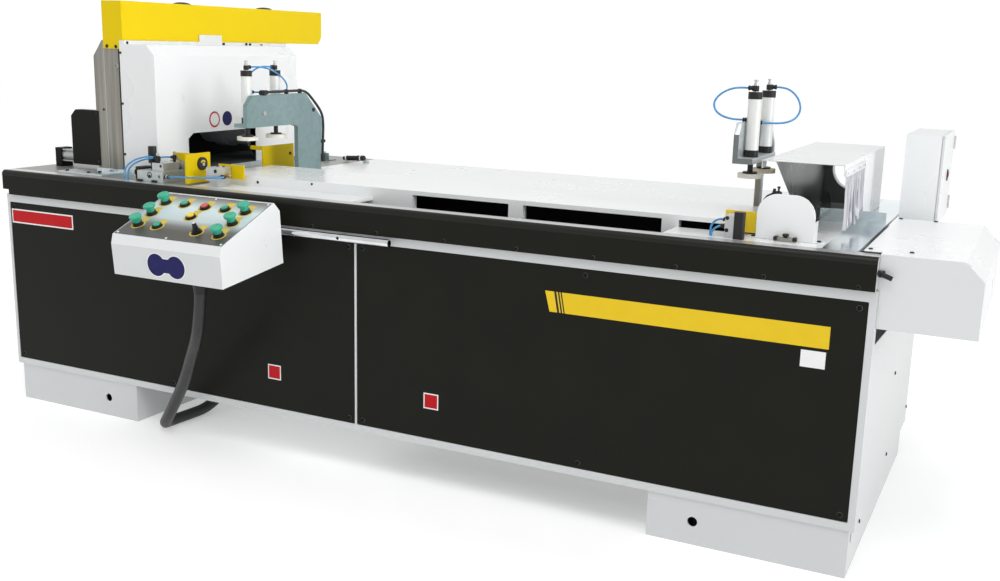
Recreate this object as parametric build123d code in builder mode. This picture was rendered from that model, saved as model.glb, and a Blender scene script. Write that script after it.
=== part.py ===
from build123d import *
import os
from math import hypot, radians, tan

# Door sizing machine, in millimetres: x along the bed, y from operator to back, z up from the floor.
# A size given as a pair is the low and the high place along one axis.

# General sizes
sheet = 2.5
thin_sheet = 2
tube = 40
gap = 0.2
run_clear = 0.3
rod_clear = 0.05
over = 1

# Cabinet frame, panels and plinths
cab_x = (-1718, 1470)
cab_y = (-500, 730)
inner_x = (-1705, 1457)
frame_z = (141, 809)
mid_post_x = -136.5
cross_tubes_x = (-1340, -1110, mid_post_x, 883)
saw_tubes_x = (1302, 1368)
panel_left_x = (-1705, -141)
panel_right_x = (-132, 1450)
panel_z = (165, 778)
panel_y = (-498, -496)
panel_corner = 5
end_panel_z = (92, 760)
end_cut = ((-460, 640), (-460, 770), (-60, 770), (-99, 620))
pan_thick = 3
plinth_left_x = (-1698, -1110)
plinth_right_x = (883, 1457 - gap)
plinth_y = (-495, 620)
plinth_z = (0, frame_z[0] - gap)
plinth_wall = 5
plinth_hole_r = 15
plinth_hole_z = 71
plinth_holes_x = (-1251, 1021)

# Front rail, deck and table
rail_x = (-1720, 1465)
rail_y = (-515, -455)
rail_z = (frame_z[1], 880)
rail_sheet = 4
rail_notch_x = -1690
rail_notch_z = 828
deck_top = 900
deck_thick = 8
edge_nose = 16
bed_x = (-850, 1184)
bed_y = (-330, 0)
bed_top = 935
bed_wall = 8
window_z = (868, 921)
windows_x = ((-26, 323), (373, 825), (877, 1165))
left_front_plate_end = -180
table_x = (870, 1310)
strip_x = (1310 + gap, 1404)
table_back = 73
blade_slot_x = (1196, 1208)
blade_slot_y = (-360, 305)
fence_x = (1208.2, 1404)
fence_y = (57, 60)
fence_z = (deck_top, 940)

# Left head
base_plate_x = (-1385, -1075)
base_plate_y = (-365, 640)
base_plate_top = 920
foot_plate_x = (-1500, -1275)
foot_plate_y = (-450, -365.2)
foot_plate_top = 907
column_x = (-1381, -1257)
column_depth = 58
column_front_y = -357.8
column_rear_y = 560
column_top = 1389.6
column_wall = 5
column_corner_x = 44
column_corner_z = 58
back_sheet_x = (-1403, -1400)
back_sheet_y = (-235, 618)
back_sheet_top = 1380
back_foot_x = (-1440, -1400)
beam_x = (-1318, -1242)
beam_y = (-350, 860)
beam_z = (1389.8, 1515)
rail_width = 12
rail_height = 12
hang_rails_x = (-1305, -1270)
hang_rail_y = (-290, 550)
cover_x = (-1328, -1232)
cover_y = (-360, 870)
cover_z = (1390, 1530)
cover_flange_z = 1359
cover_corner = 45
housing_x = (-1250, -1085)
housing_y = (-360, 482)
housing_z = (base_plate_top + gap, 1376)
housing_bevel = 36
housing_mouth = ((-195, 900), (-195, 1034), (-167, 1053), (200, 1053), (200, 900))
housing_lip_x = (-1230, -1227.5)
housing_lip_y = (-360, 476)
housing_lip_z = (1374, 1390)
housing_tab_y = (45, 178)
housing_tab_top = 1417
side_cover_x = (-1511, column_x[0] - gap)
side_cover_y = (-360, -324)
side_cover_z = (926, 1131)
side_cover_corner = 24
side_cover_lap = -1369
side_cyl_y = -270
side_cyl_z = 945
side_cyl_x = (-1672, -1400)
side_cap = 56
side_cap_long = 31
side_tube_r = 23
tie_rod_r = 3
tie_rod_offset = 21
tie_rod_end = 6
side_rod_r = 8
side_rod_x = (-1550, -1380)
side_nose_r = 13
side_nose_long = 8

# Left saw
saw_y = 280
saw_z = 1050
hanger_x = (-1335, -1254)
hanger_y = (saw_y - 50, saw_y + 50)
hanger_z = (1358, 1372)
runner_wide = 24
motor_left_x = (-1395, -1130)
motor_left_r = 75
saddle_x = (-1330, -1262)
saddle_wall = 10
saddle_inset = 12
motor_edge = 6
nose_r = 22
blade_left_r = 125
blade_left_x = (-1107.6, -1104.4)
blade_teeth = 48
tooth_depth = 7
spindle_r = 12.5
flange_r = 32
flange_thick = 6
spindle_end = 12

# Clamps
clamp_left_x = -790
clamp_right_x = 1042
clamp_left_y = (-215, -50)
clamp_right_y = (-195, -25)
shelf_left_z = (1094, 1108)
shelf_right_z = (1088.5, 1105)
clamp_left_top = 1295
clamp_right_top = 1292
clamp_tube_r = 19.5
clamp_cap = 20
clamp_cap_r = 20.5
port_r = 6
port_high = 22
clamp_rod_r = 8
clamp_bore = 8.05
pad_left_r = 38
pad_right_r = 36
pad_left_z = (1047, 1060)
pad_right_z = (1044, 1057)
pad_boss_r = 21
pad_boss_high = 5
shelf_left_x = (-812, -768)
shelf_left_y = (-262, -5)
shelf_right_x = (1021, 1064)
shelf_right_y = (-265, 22)
shelf_hole_r = 10
plate_left_x = (-768, -750)
plate_right_x = (1005, 1021)
left_plate_outline = ((-267, 1094.5), (-264, 1174), (-232, 1208), (84, 1210), (190, 1110), (180, 900 + gap),
                      (33, 900 + gap), (33, 1086), (-1, 1094.5))
right_plate_outline = ((-265, 1088.5), (-265, 1172), (-242, 1205), (20, 1205), (75, 1150), (75, 900 + gap),
                       (33, 900 + gap), (33, 1088.5))
back_plate_y = (8, 20)
back_plate_outline = ((1021, 1105), (1021, 1205), (1046, 1205), (1062, 1134), (1062, 1105))

# Left stop, pushers and rear fence
stop_block_x = (-1090, -970)
stop_block_y = (-462, -366)
stop_tail_x = (-1070, stop_block_x[1])
stop_tail_y = (stop_block_y[1], -346)
stop_block_z = (deck_top, 939)
stop_body_x = (-1030, -978)
stop_body_y = (-450, -372)
stop_body_z = (stop_block_z[1], 968)
stop_guides_x = (-1033, -988)
stop_guide_r = 6
stop_guide_z = 921
stop_guide_start = -455
stop_piston_r = 6
stop_piston_place = (-1004, 956)
stop_piston_start = -440
stop_coupling_r = 16
stop_coupling_long = 26
stop_plate_x = (-872, -864)
stop_plate_y = (-458, -334)
stop_plate_z = (905, 1008)
stop_yoke_x = (-1045, stop_plate_x[1])
stop_yoke_y = (-342, stop_plate_y[1])
stop_yoke_z = (909, 970)
stop_return_x = (-1016, stop_plate_x[1])
stop_return_y = (-344, -336)
stop_return_z = (stop_yoke_z[1], 998)
stop_post_place = (-1062, -412)
stop_post_r = 15
stop_stem_r = 7
stop_post_z = (963, 1022)
buffer_y = -381
buffer_z = 971
buffer_r = 23
buffer_thick = 8
push_left_block_x = (-793, -744)
push_left_block_y = (-440, -368)
push_left_block_z = (922, 967)
push_left_foot_x = (-788, -749)
push_left_foot_y = (-430, -378)
push_left_rods = ((-781, 945), (-756, 945))
push_left_plate_x = (-804, -692)
push_left_plate_z = (924, 973)
push_plate_y = (-362, -356)
push_rod_r = 5
push_bore_inset = 8
push_rod_inset = 12
push_right_block_x = (1041, 1068)
push_right_block_y = (-436, -376)
push_right_block_z = (deck_top + gap, 962)
push_right_rods = ((1054.5, 918), (1054.5, 946))
push_right_plate_x = (1022, 1110)
push_right_plate_z = (908, 968)
grip_x = (1068 + gap, 1098)
grip_y = (-452, -428)
grip_z = (deck_top, 975)
grip_corner = 8
rear_fence_x = (-956, -896)
rear_fence_y = (4, 200)
rear_fence_z = (deck_top + gap, 1003)
rear_fence_thick = 6
rear_fence_lip = 15

# Right head
hood_x = (1093, 1324)
hood_y = (-274, 505)
hood_z = (deck_top + gap, 1106)
hood_wall_x = 1130
hood_side = ((-263, 1105), (44, 935), (44, hood_z[0]), (505, hood_z[0]), (505, 1105))
hood_gate_y = 85
hood_lintel_z = 1076
hood_lip = 24
hood_lip_end = -225
duct_x = 1232
duct_z = 1022
duct_r = 73
duct_end = 548
curtain_x = (1324 + gap, 1330)
curtain_y = (-262, 75)
curtain_z = (942, 1091)
curtain_bar = 20
strip_count = 8
strip_space = 4
strip_thick = 2
guard_x = (1117, 1277)
guard_y = (-390, -387)
guard_z = (deck_top + gap, 1027)
guard_corner = 58
guard_flange_y = (-387, -340)
guard_flange_z = (guard_z[0], 956)
guard_foot = 26
guard_foot_thick = 3
guard_clamp_x = (1173, 1233)
guard_clamp_deep = 22
guard_clamp_high = 10
motor_cover_x = (1418, 1720)
motor_cover_y = (-488, 215)
motor_cover_z = (708, 906)
motor_cover_bevel = 48
saw_r_y = 158
saw_r_z = 850
blade_right_r = 130
blade_right_x = (1200.4, 1203.6)
carriage_x = (1276, 1394)
carriage_y = (saw_r_y - 50, saw_r_y + 50)
carriage_z = (823, 878)
quill_r = 18.5
quill_x = (1266, 1476)
motor_right_x = (1476 + gap, 1660)
motor_right_r = 50
saw_rail_y = (-320, 260)
saw_rail_wide = 15
shoe_wide = 32
shoe_clear = 2
spindle_short = 4

# Electrical box and rail lever
ebox_x = (1416, 1522)
ebox_y = (260, 605)
ebox_z = (885, 1165)
ebox_wall = 2.5
ebox_plate_thick = 10
ebox_plate_inset = 20
switch_rows_z = (950, 1060)
switch_count = 5
switch_first_y = 292
switch_pitch = 44
switch_wide = 40
switch_deep = 45
switch_high = 70
ebox_foot_x = (1417, 1457)
ebox_foot_y = (300, 500)
door_x = (1523, 1531)
lever_pivot = (1473.4, -505.5, 857)
lever_tip = (1502, -505.5, 847)
lever_r = 6.5
lever_hub_r = 7.8
lever_hub_y = (-513, -498.3)
lever_pin_r = 3
rail_cap_y = (rail_y[0], -470)
lug_x = (rail_x[1], 1482)
lug_y = (-498, -494)

# Control console
console_x = (-815, -375)
console_outline = ((-861, 660.5), (-870, 761), (-862, 791.5), (-605, 896.4), (-576, 868.3), (-562, 694.4))
panel_low = (-862, 791.5)
panel_high = (-605, 896.4)
tube_r = 12.5
tube_bore = 10.5
tube_y = -530
tube_z = 793
tube_x = (-970, 10)
spacers_x = (-790, -176)
spacer_r = 8
tube_hole_r = 5
hooks_x = (-740, -450)
hook_width = 40
hook_y = (-573, -508)
hook_z = (777, 808)
hook_slot = 18
gland_x, gland_y = -570, -740
gland_z = (640, 690)
gland_r = 25
barrel_r = 11
barrel_deep = 24
bezel_r = 15.3
bezel_high = 8
collar_floor = 0.6
collar_high = 11.5
collar_bore = 13.6
cap_bore = 12.3
stem_r = 8.2
stem_bore = 8.5
stem_low = -18
neck_z = (6, 24)
neck_r = (12.5, 14)
head_r = 20
head_round = 4
head_z = (neck_z[1], 35)
cap_r = 12
cap_round = 1.5
cap_z = (5, 11.5)
lens_z = (collar_floor + gap, 12)
handle_outline = ((-9, 9), (9, 9), (8, 20), (4, 34), (-4, 34), (-8, 20))
handle_wide = 8

# Controls on the console face: name, kind, place from the left edge and place up the slope
controls = (
    ("green_mushroom_1", "mushroom", 47, 210),
    ("green_mushroom_2", "mushroom", 48, 137),
    ("green_mushroom_3", "mushroom", 50, 67),
    ("green_mushroom_4", "mushroom", 381, 204),
    ("green_mushroom_5", "mushroom", 382, 132),
    ("green_mushroom_6", "mushroom", 385, 58),
    ("green_button_1", "flat", 128, 210),
    ("green_button_2", "flat", 296, 207),
    ("green_button_3", "flat", 128, 69),
    ("red_button", "flat", 215, 206),
    ("selector_knob", "selector", 295, 62),
    ("pilot_lamp", "lamp", 208, 141),
)

# Conduit from the console to the floor, then back under the cabinet and up to the bottom pan
conduit_r = 20
conduit_points = (
    (gland_x, gland_y, 640), (gland_x, gland_y, 590), (-580, -737, 530), (-606, -720, 455),
    (-680, -668, 365), (-747, -630, 262), (-827, -590, 163), (-900, -556, 78),
    (-955, -520, 30), (-973, -486, 20.5), (-970, -440, 20.5), (-964, -370, 20.5),
    (-957, -306, 22), (-946, -250, 44), (-940, -206, 82), (-940, -187, 118), (-940, -187, frame_z[0]),
)

# Blue air hoses: clamps, left stop, left pusher and right pusher
hose_r = 3
deck_hose_z = deck_top + gap
hose_routes = (
    ((1020, -195, 1303), (994, -197, 1304), (964, -201, 1297), (937, -205, 1280), (923, -207, 1257),
     (929, -205, 1234), (949, -201, 1219), (976, -197, 1212), (999, -195, 1211), (1021, -195, 1211.5)),
    ((1064, -25, 1303), (1088, -23, 1303), (1114, -21, 1290), (1133, -19, 1266), (1140, -21, 1238),
     (1130, -29, 1214), (1109, -41, 1201), (1084, -52, 1197), (1046, -60, 1196.5), (1024, -61, 1197)),
    ((-790, -193, 1307), (-786, -165, 1309), (-778, -130, 1306), (-769, -92, 1296), (-766, -58, 1280),
     (-766, -26, 1262), (-766, -8, 1240), (-766, -12, 1222), (-766, -36, 1215), (-767, -84, 1215),
     (-772, -130, 1216), (-782, -166, 1218), (-788, -194, 1219)),
    ((-790, -72, 1307), (-793, -100, 1310), (-800, -134, 1306), (-807, -164, 1290), (-811, -180, 1266),
     (-810, -186, 1238), (-802, -194, 1218)),
    ((-1152, -462, deck_hose_z), (-1152, -462, 920), (-1149, -460, 940), (-1135, -457, 957),
     (-1112, -454, 971), (-1090, -451, 980), (-1064, -448, 986), (-1040, -445, 989), (-1024, -442, 987)),
    ((-1144, -452, deck_hose_z), (-1144, -452, 919), (-1141, -451, 937), (-1126, -448, 953),
     (-1104, -444, 966), (-1078, -440, 975), (-1050, -433, 981), (-1026, -416, 985), (-1009, -397, 986),
     (-998, -384, 985)),
    ((-967, -452, 922), (-954, -460, 923), (-928, -469, 926), (-890, -473, 929), (-846, -474, 930),
     (-804, -469, 932), (-768, -459, 934), (-738, -446, 935), (-730, -422, 936)),
    ((1040, -412, 946), (1028, -413, 949), (1012, -415, 945), (1001, -417, 934), (997, -419, 918),
     (997, -419, deck_hose_z)),
    ((1030, -426, 931), (1020, -427, 929), (1009, -429, 920), (1003, -430, 909), (1003, -430, deck_hose_z)),
)

# Black hose clipped along the left bracket
clip_hose_r = 5
clip_hose_route = (
    (-754, -150, 1218), (-754, -110, 1219), (-754, -40, 1219), (-754, 40, 1220), (-754, 90, 1217),
    (-754, 130, 1189), (-754, 190, 1137), (-754, 205, 1098), (-754, 200, 1020), (-754, 197, 970),
)

# Fasteners
panel_screw_r = 7
screw_high = 3
panel_screws_z = (183, 760)
panel_screw_inset = 22
rail_screw_first = 1422
rail_screw_pitch = 245
rail_screw_count = 13
rail_screw_z = 819
rail_screw_r = 5


def block(x, y, z, mode=Mode.ADD):
    """Box between a low and a high place along each axis."""
    with Locations(((x[0] + x[1]) / 2, (y[0] + y[1]) / 2, (z[0] + z[1]) / 2)):
        Box(x[1] - x[0], y[1] - y[0], z[1] - z[0], mode=mode)


def around(middle, width):
    """Pair of places that lie evenly about a middle."""
    return (middle - width / 2, middle + width / 2)


def inset(pair, amount):
    """The same pair with both ends drawn in."""
    return (pair[0] + amount, pair[1] - amount)


def bar(start, end, radius, mode=Mode.ADD):
    """Round bar from one point to another."""
    along = Vector(end) - Vector(start)
    with Locations(Plane(origin=start, z_dir=along)):
        Cylinder(radius, along.length, align=(Align.CENTER, Align.CENTER, Align.MIN), mode=mode)


def upright(place, z, radius, mode=Mode.ADD):
    """Upright round bar at an (x, y) place."""
    bar((*place, z[0]), (*place, z[1]), radius, mode)


def extruded_x(x, outline, shrink=0, mode=Mode.ADD):
    """Solid between two x places with an outline of (y, z) points."""
    with BuildSketch(Plane.YZ.offset(x[0])) as profile:
        with BuildLine():
            Polyline(*outline, close=True)
        make_face()
        if shrink:
            offset(amount=-shrink, kind=Kind.INTERSECTION, mode=Mode.REPLACE)
    extrude(profile.sketch, amount=x[1] - x[0], mode=mode)


def extruded_y(y, outline, mode=Mode.ADD):
    """Solid between two y places with an outline of (x, z) points."""
    with BuildSketch(Plane.XZ.offset(-y[1])) as profile:
        with BuildLine():
            Polyline(*outline, close=True)
        make_face()
    extrude(profile.sketch, amount=y[1] - y[0], mode=mode)


def bevelled_outline(x, z, bevel):
    """Outline of a cover with its upper right corner cut off."""
    return ((x[0], z[0]), (x[0], z[1]), (x[1] - bevel, z[1]), (x[1], z[1] - bevel), (x[1], z[0]))


def bevelled_hollow(x, z, bevel):
    """Inside of the same cover, open on the left and underneath."""
    bevel_inset = bevel + sheet * tan(radians(22.5))
    top, right = z[1] - sheet, x[1] - sheet
    return ((x[0] - over, z[0] - over), (x[0] - over, top), (x[1] - bevel_inset, top),
            (right, z[1] - bevel_inset), (right, z[0] - over))


def saw_disc(x, y, z, radius):
    """Toothed saw blade in a plane across x."""
    with BuildSketch(Plane.YZ.offset(x[0])) as profile:
        with Locations((y, z)):
            Circle(radius)
            with PolarLocations(radius, blade_teeth):
                Rectangle(2 * tooth_depth, tooth_depth, rotation=35, mode=Mode.SUBTRACT)
    extrude(profile.sketch, amount=x[1] - x[0])


def route_radii(points):
    """Largest arc radius at each inner point that its two runs leave room for."""
    radii = []
    for before, here, after in zip(points, points[1:], points[2:]):
        run_in = Vector(here) - Vector(before)
        run_out = Vector(after) - Vector(here)
        half_turn = radians(run_in.get_angle(run_out)) / 2
        radii.append(0.45 * min(run_in.length, run_out.length) / tan(half_turn))
    return radii


def round_tube(points, radius, name):
    """Tube along straight runs joined by tangent arcs."""
    radii = route_radii(points)
    with BuildLine() as route:
        FilletPolyline(*points, radius=radii)
    with BuildSketch(Plane(origin=points[0], z_dir=Vector(points[1]) - Vector(points[0]))) as section:
        Circle(radius)
    sweep(section.sketch, path=route.wire())
    print(name, "length", round(route.wire().length, 1), "radii", [round(r) for r in radii])
    return section.sketch.area * route.wire().length


def save(piece, name):
    """Label a finished piece and write it."""
    piece.part.label = name
    export_step(piece.part, f"parts/{name}.step")


os.makedirs("parts", exist_ok=True)

# Welded frame: each tube is its own bar, butted against its neighbours
bottom_z = (frame_z[0], frame_z[0] + tube)
top_z = (frame_z[1] - tube, frame_z[1])
post_z = (bottom_z[1] + gap, top_z[0] - gap)
front_y = (cab_y[0], cab_y[0] + tube)
rear_y = (cab_y[1] - tube, cab_y[1])
between_y = (front_y[1] + gap, rear_y[0] - gap)
riser_z = (frame_z[1] + gap, deck_top - deck_thick - gap)
left_side_x = (inner_x[0], inner_x[0] + tube)
right_side_x = (inner_x[1] - tube, inner_x[1])
cross_x = [around(x, tube) for x in cross_tubes_x]
saw_tube_x = [around(x, tube) for x in saw_tubes_x]
with BuildPart() as base_frame:
    for z in (bottom_z, top_z):
        block(cab_x, front_y, z)
        block(inner_x, rear_y, z)
        for x in (left_side_x, right_side_x, *cross_x):
            block(x, between_y, z)
    for x in saw_tube_x:
        block(x, between_y, top_z)
    for x in ((cab_x[0], cab_x[0] + tube), around(mid_post_x, tube), (cab_x[1] - tube, cab_x[1])):
        block(x, front_y, post_z)
    for x in (left_side_x, around(mid_post_x, tube), right_side_x):
        block(x, rear_y, post_z)
        block(x, rear_y, riser_z)
    for x in cross_x[:2]:
        block(x, (column_front_y, base_plate_y[1]), riser_z)
    for x in saw_tubes_x:
        block(around(x, saw_rail_wide), saw_rail_y, (frame_z[1] + gap, frame_z[1] + rail_height))
    for x in (panel_left_x, panel_right_x):
        block(inset(x, -1), (cab_y[0], panel_y[1]), inset(panel_z, -1), mode=Mode.SUBTRACT)
save(base_frame, "base_frame")

# Plinths: closed hollow boxes with a round hole in the front wall
with BuildPart() as plinths:
    for x in (plinth_left_x, plinth_right_x):
        block(x, plinth_y, plinth_z)
        hollow = [inset(pair, plinth_wall) for pair in (x, plinth_y, plinth_z)]
        block(*hollow, mode=Mode.SUBTRACT)
    hole_y = (plinth_y[0] - over, plinth_y[0] + 2 * plinth_wall)
    for x in plinth_holes_x:
        hole_ends = [(x, y, plinth_hole_z) for y in hole_y]
        bar(*hole_ends, plinth_hole_r, Mode.SUBTRACT)
save(plinths, "plinths")

# Front panels
for name, x in (("front_panel_left", panel_left_x), ("front_panel_right", panel_right_x)):
    with BuildPart() as front_panel:
        block(x, panel_y, panel_z)
        fillet(front_panel.edges().filter_by(Axis.Y), panel_corner)
    save(front_panel, name)

# End panels, rear panels and bottom pan
with BuildPart() as cover_panels:
    end_y = (front_y[1] + gap, cab_y[1])
    block((inner_x[0] - thin_sheet, inner_x[0] - gap), end_y, (frame_z[0], end_panel_z[1]))
    block((inner_x[1] + gap, inner_x[1] + thin_sheet), end_y, end_panel_z)
    extruded_x((inner_x[1], inner_x[1] + thin_sheet + over), end_cut, mode=Mode.SUBTRACT)
    for x in ((inner_x[0], mid_post_x - over), (mid_post_x + over, inner_x[1])):
        block(x, (cab_y[1] + gap, cab_y[1] + thin_sheet), frame_z)
    pan_x = (cross_x[1][1] + gap, cross_x[2][0] - gap)
    block(pan_x, between_y, (frame_z[0], frame_z[0] + pan_thick))
save(cover_panels, "cover_panels")

# Front rail: folded channel on top of the frame
with BuildPart() as front_rail:
    block(rail_x, rail_y, (rail_z[0] + gap, rail_z[1]))
    channel_y = (rail_y[0] + rail_sheet, rail_y[1] + over)
    block(inset(rail_x, -over), channel_y, inset(rail_z, rail_sheet), mode=Mode.SUBTRACT)
    block((rail_x[1] - rail_sheet, rail_x[1]), rail_cap_y, (rail_z[0] + gap, rail_z[1]))
    notch_x = (rail_x[0] - over, rail_notch_x)
    block(notch_x, inset(rail_y, -over), (rail_z[0], rail_notch_z), mode=Mode.SUBTRACT)
    block(lug_x, lug_y, around(lever_pivot[2], 2 * lever_hub_r))
    lug_pin = [(lever_pivot[0], y, lever_pivot[2]) for y in (lug_y[0], lever_hub_y[0] - over)]
    bar(*lug_pin, lever_pin_r)
save(front_rail, "front_rail")

# Deck edge with its rounded nose, deck plates and table plates
with BuildPart() as deck_edge:
    block(rail_x, rail_y, (rail_z[1], deck_top))
    fillet(deck_edge.edges().filter_by(Axis.X).group_by(Axis.Y)[0].group_by(Axis.Z)[-1], edge_nose)
save(deck_edge, "deck_edge")

deck_z = (deck_top - deck_thick, deck_top)
deck_front = rail_y[1] + gap
bed_front = bed_y[0] - gap
with BuildPart() as deck_plates:
    block((rail_x[0], bed_x[0] - gap), (deck_front, cab_y[1]), deck_z)
    block((bed_x[0], left_front_plate_end), (deck_front, bed_front), deck_z)
    block((bed_x[0], table_x[1]), (table_back + gap, cab_y[1]), deck_z)
    block((bed_x[0], bed_x[1]), (bed_y[1] + gap, table_back), deck_z)
    block(blade_slot_x, blade_slot_y, inset(deck_z, -1), mode=Mode.SUBTRACT)
save(deck_plates, "deck_plates")

with BuildPart() as table_plate:
    block(table_x, (deck_front, bed_front), deck_z)
    block((bed_x[1] + gap, table_x[1]), (bed_front, table_back), deck_z)
    block(blade_slot_x, blade_slot_y, inset(deck_z, -1), mode=Mode.SUBTRACT)
save(table_plate, "table_plate")

with BuildPart() as table_strip:
    block(strip_x, (deck_front, cab_y[1]), deck_z)
    block(fence_x, fence_y, (fence_z[0] + gap, fence_z[1]))
save(table_strip, "table_strip")

# Bed beam: box open underneath, with windows in its front wall
bed_z = (frame_z[1] + gap, bed_top)
with BuildPart() as bed_beam:
    block(bed_x, bed_y, bed_z)
    hollow_z = (bed_z[0] - over, bed_top - bed_wall)
    block(inset(bed_x, bed_wall), inset(bed_y, bed_wall), hollow_z, mode=Mode.SUBTRACT)
    for x in windows_x:
        block(x, (bed_y[0] - over, bed_y[0] + bed_wall + over), window_z, mode=Mode.SUBTRACT)
save(bed_beam, "bed_beam")

# Stand of the left head: base plate, two channel columns and the sheet that closes the saw space
with BuildPart() as left_stand:
    block(base_plate_x, base_plate_y, (deck_top + gap, base_plate_top))
    column_z = (base_plate_top + gap, column_top)
    corner = ((column_x[0], column_top), (column_x[0], column_top - column_corner_z),
              (column_x[0] + column_corner_x, column_top))
    block(foot_plate_x, foot_plate_y, (deck_top + gap, foot_plate_top))
    for y in (column_front_y, column_rear_y):
        block(column_x, (y, y + column_depth), column_z)
        channel_y = (y + column_wall, y + column_depth + over)
        block(inset(column_x, column_wall), channel_y, inset(column_z, -over), mode=Mode.SUBTRACT)
        extruded_y((y, y + column_depth), corner, mode=Mode.SUBTRACT)
    block(back_sheet_x, back_sheet_y, (deck_top + gap, back_sheet_top))
    block(back_foot_x, back_sheet_y, (deck_top + gap, deck_top + gap + sheet))
save(left_stand, "left_stand")

# Guide beam with two hanging rails
with BuildPart() as guide_beam:
    block(beam_x, beam_y, beam_z)
    for x in hang_rails_x:
        block(around(x, rail_width), hang_rail_y, (beam_z[0] - rail_height, beam_z[0]))
save(guide_beam, "guide_beam")

# Yellow beam cover: folded sheet open underneath
with BuildPart() as beam_cover:
    block(cover_x, cover_y, cover_z)
    fillet(beam_cover.edges().filter_by(Axis.X).group_by(Axis.Y)[-1].group_by(Axis.Z)[0], cover_corner)
    hollow_z = (cover_z[0] - over, cover_z[1] - thin_sheet)
    block(inset(cover_x, thin_sheet), inset(cover_y, thin_sheet), hollow_z, mode=Mode.SUBTRACT)
    flange_x = (cover_x[0], housing_x[0] - gap)
    block(flange_x, (cover_y[0], cover_y[0] + thin_sheet), (cover_flange_z, cover_z[0]))
save(beam_cover, "beam_cover")

# Left saw housing: sheet hood open underneath and towards the columns
housing_outline = bevelled_outline(housing_x, housing_z, housing_bevel)
housing_hollow = bevelled_hollow(housing_x, housing_z, housing_bevel)
with BuildPart() as left_housing:
    extruded_y(housing_y, housing_outline)
    extruded_y(inset(housing_y, sheet), housing_hollow, mode=Mode.SUBTRACT)
    extruded_x((housing_x[1] - sheet - over, housing_x[1] + over), housing_mouth, mode=Mode.SUBTRACT)
    block(housing_lip_x, housing_lip_y, housing_lip_z)
    block(housing_lip_x, housing_tab_y, (housing_lip_z[0], housing_tab_top))
    lip_front_y = (housing_y[0], housing_y[0] + sheet)
    block((housing_x[0], housing_lip_x[1]), lip_front_y, housing_lip_z)
save(left_housing, "left_housing")

# Black side cover and the tie-rod cylinder behind it
with BuildPart() as side_cover:
    block(side_cover_x, side_cover_y, side_cover_z)
    left_edges = side_cover.edges().filter_by(Axis.Y).group_by(Axis.X)[0]
    chamfer(left_edges.group_by(Axis.Z)[-1], side_cover_corner)
    hollow_y = (side_cover_y[0] + sheet, side_cover_y[1] + over)
    block(inset(side_cover_x, side_cover_corner), hollow_y, inset(side_cover_z, sheet), mode=Mode.SUBTRACT)
    lap_y = (side_cover_y[0], side_cover_y[0] + thin_sheet)
    block((side_cover_x[1], side_cover_lap), lap_y, side_cover_z)
save(side_cover, "side_cover")

def side_bar(x, radius, dy=0, dz=0, mode=Mode.ADD):
    """Round bar along x about the far-left cylinder's axis, or set off from it."""
    ends = [(place, side_cyl_y + dy, side_cyl_z + dz) for place in x]
    bar(*ends, radius, mode)


with BuildPart() as side_cylinder:
    cap_y = around(side_cyl_y, side_cap)
    caps_z = (deck_top + gap, side_cyl_z + side_cap / 2)
    block((side_cyl_x[0], side_cyl_x[0] + side_cap_long), cap_y, caps_z)
    block((side_cyl_x[1] - side_cap_long, side_cyl_x[1]), cap_y, caps_z)
    side_bar(inset(side_cyl_x, over), side_tube_r)
    for dy in (-tie_rod_offset, tie_rod_offset):
        for dz in (-tie_rod_offset, tie_rod_offset):
            side_bar(inset(side_cyl_x, -tie_rod_end), tie_rod_r, dy, dz)
    bore_x = (side_cyl_x[0] + side_cap_long, side_cyl_x[1] + over)
    side_bar(bore_x, side_rod_r + rod_clear, mode=Mode.SUBTRACT)
save(side_cylinder, "side_cylinder")

with BuildPart() as side_cylinder_rod:
    side_bar((side_rod_x[0], side_rod_x[1]), side_rod_r)
    side_bar((side_rod_x[1], side_rod_x[1] + side_nose_long), side_nose_r)
save(side_cylinder_rod, "side_cylinder_rod")

# Left saw: carriage hung on the rails, motor and blade
def left_bar(x, radius, mode=Mode.ADD):
    """Round bar along the left spindle's axis."""
    bar((x[0], saw_y, saw_z), (x[1], saw_y, saw_z), radius, mode)


with BuildPart() as left_saw_carriage:
    block(hanger_x, hanger_y, hanger_z)
    slot_z = (beam_z[0] - rail_height - run_clear, beam_z[0])
    for x in hang_rails_x:
        block(around(x, runner_wide), hanger_y, (hanger_z[1], beam_z[0] - run_clear))
        block(around(x, rail_width + 2 * run_clear), inset(hanger_y, -over), slot_z, mode=Mode.SUBTRACT)
    block(saddle_x, inset(hanger_y, saddle_inset), (saw_z, hanger_z[0]))
    left_bar(saddle_x, motor_left_r + saddle_wall)
    left_bar(inset(saddle_x, -over), motor_left_r + gap, Mode.SUBTRACT)
save(left_saw_carriage, "left_saw_carriage")

with BuildPart() as left_saw_motor:
    left_bar(motor_left_x, motor_left_r)
    fillet(left_saw_motor.edges().filter_by(GeomType.CIRCLE), motor_edge)
    left_bar((motor_left_x[1] - over, blade_left_x[0] - flange_thick - over), nose_r)
    left_bar((motor_left_x[1], blade_left_x[1] + spindle_end), spindle_r)
save(left_saw_motor, "left_saw_motor")

with BuildPart() as left_saw_blade:
    saw_disc(blade_left_x, saw_y, saw_z, blade_left_r)
    left_bar(inset(blade_left_x, -flange_thick), flange_r)
    left_bar(inset(blade_left_x, -2 * flange_thick), spindle_r + rod_clear, Mode.SUBTRACT)
save(left_saw_blade, "left_saw_blade")

# Clamp brackets: a thick upright plate with the shelf that carries the cylinders beside it
def holed_shelf(x, y, z, places):
    """Shelf with a hole at each (x, y) place for a clamp rod."""
    block(x, y, z)
    for place in places:
        upright(place, inset(z, -over), shelf_hole_r, Mode.SUBTRACT)


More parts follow.
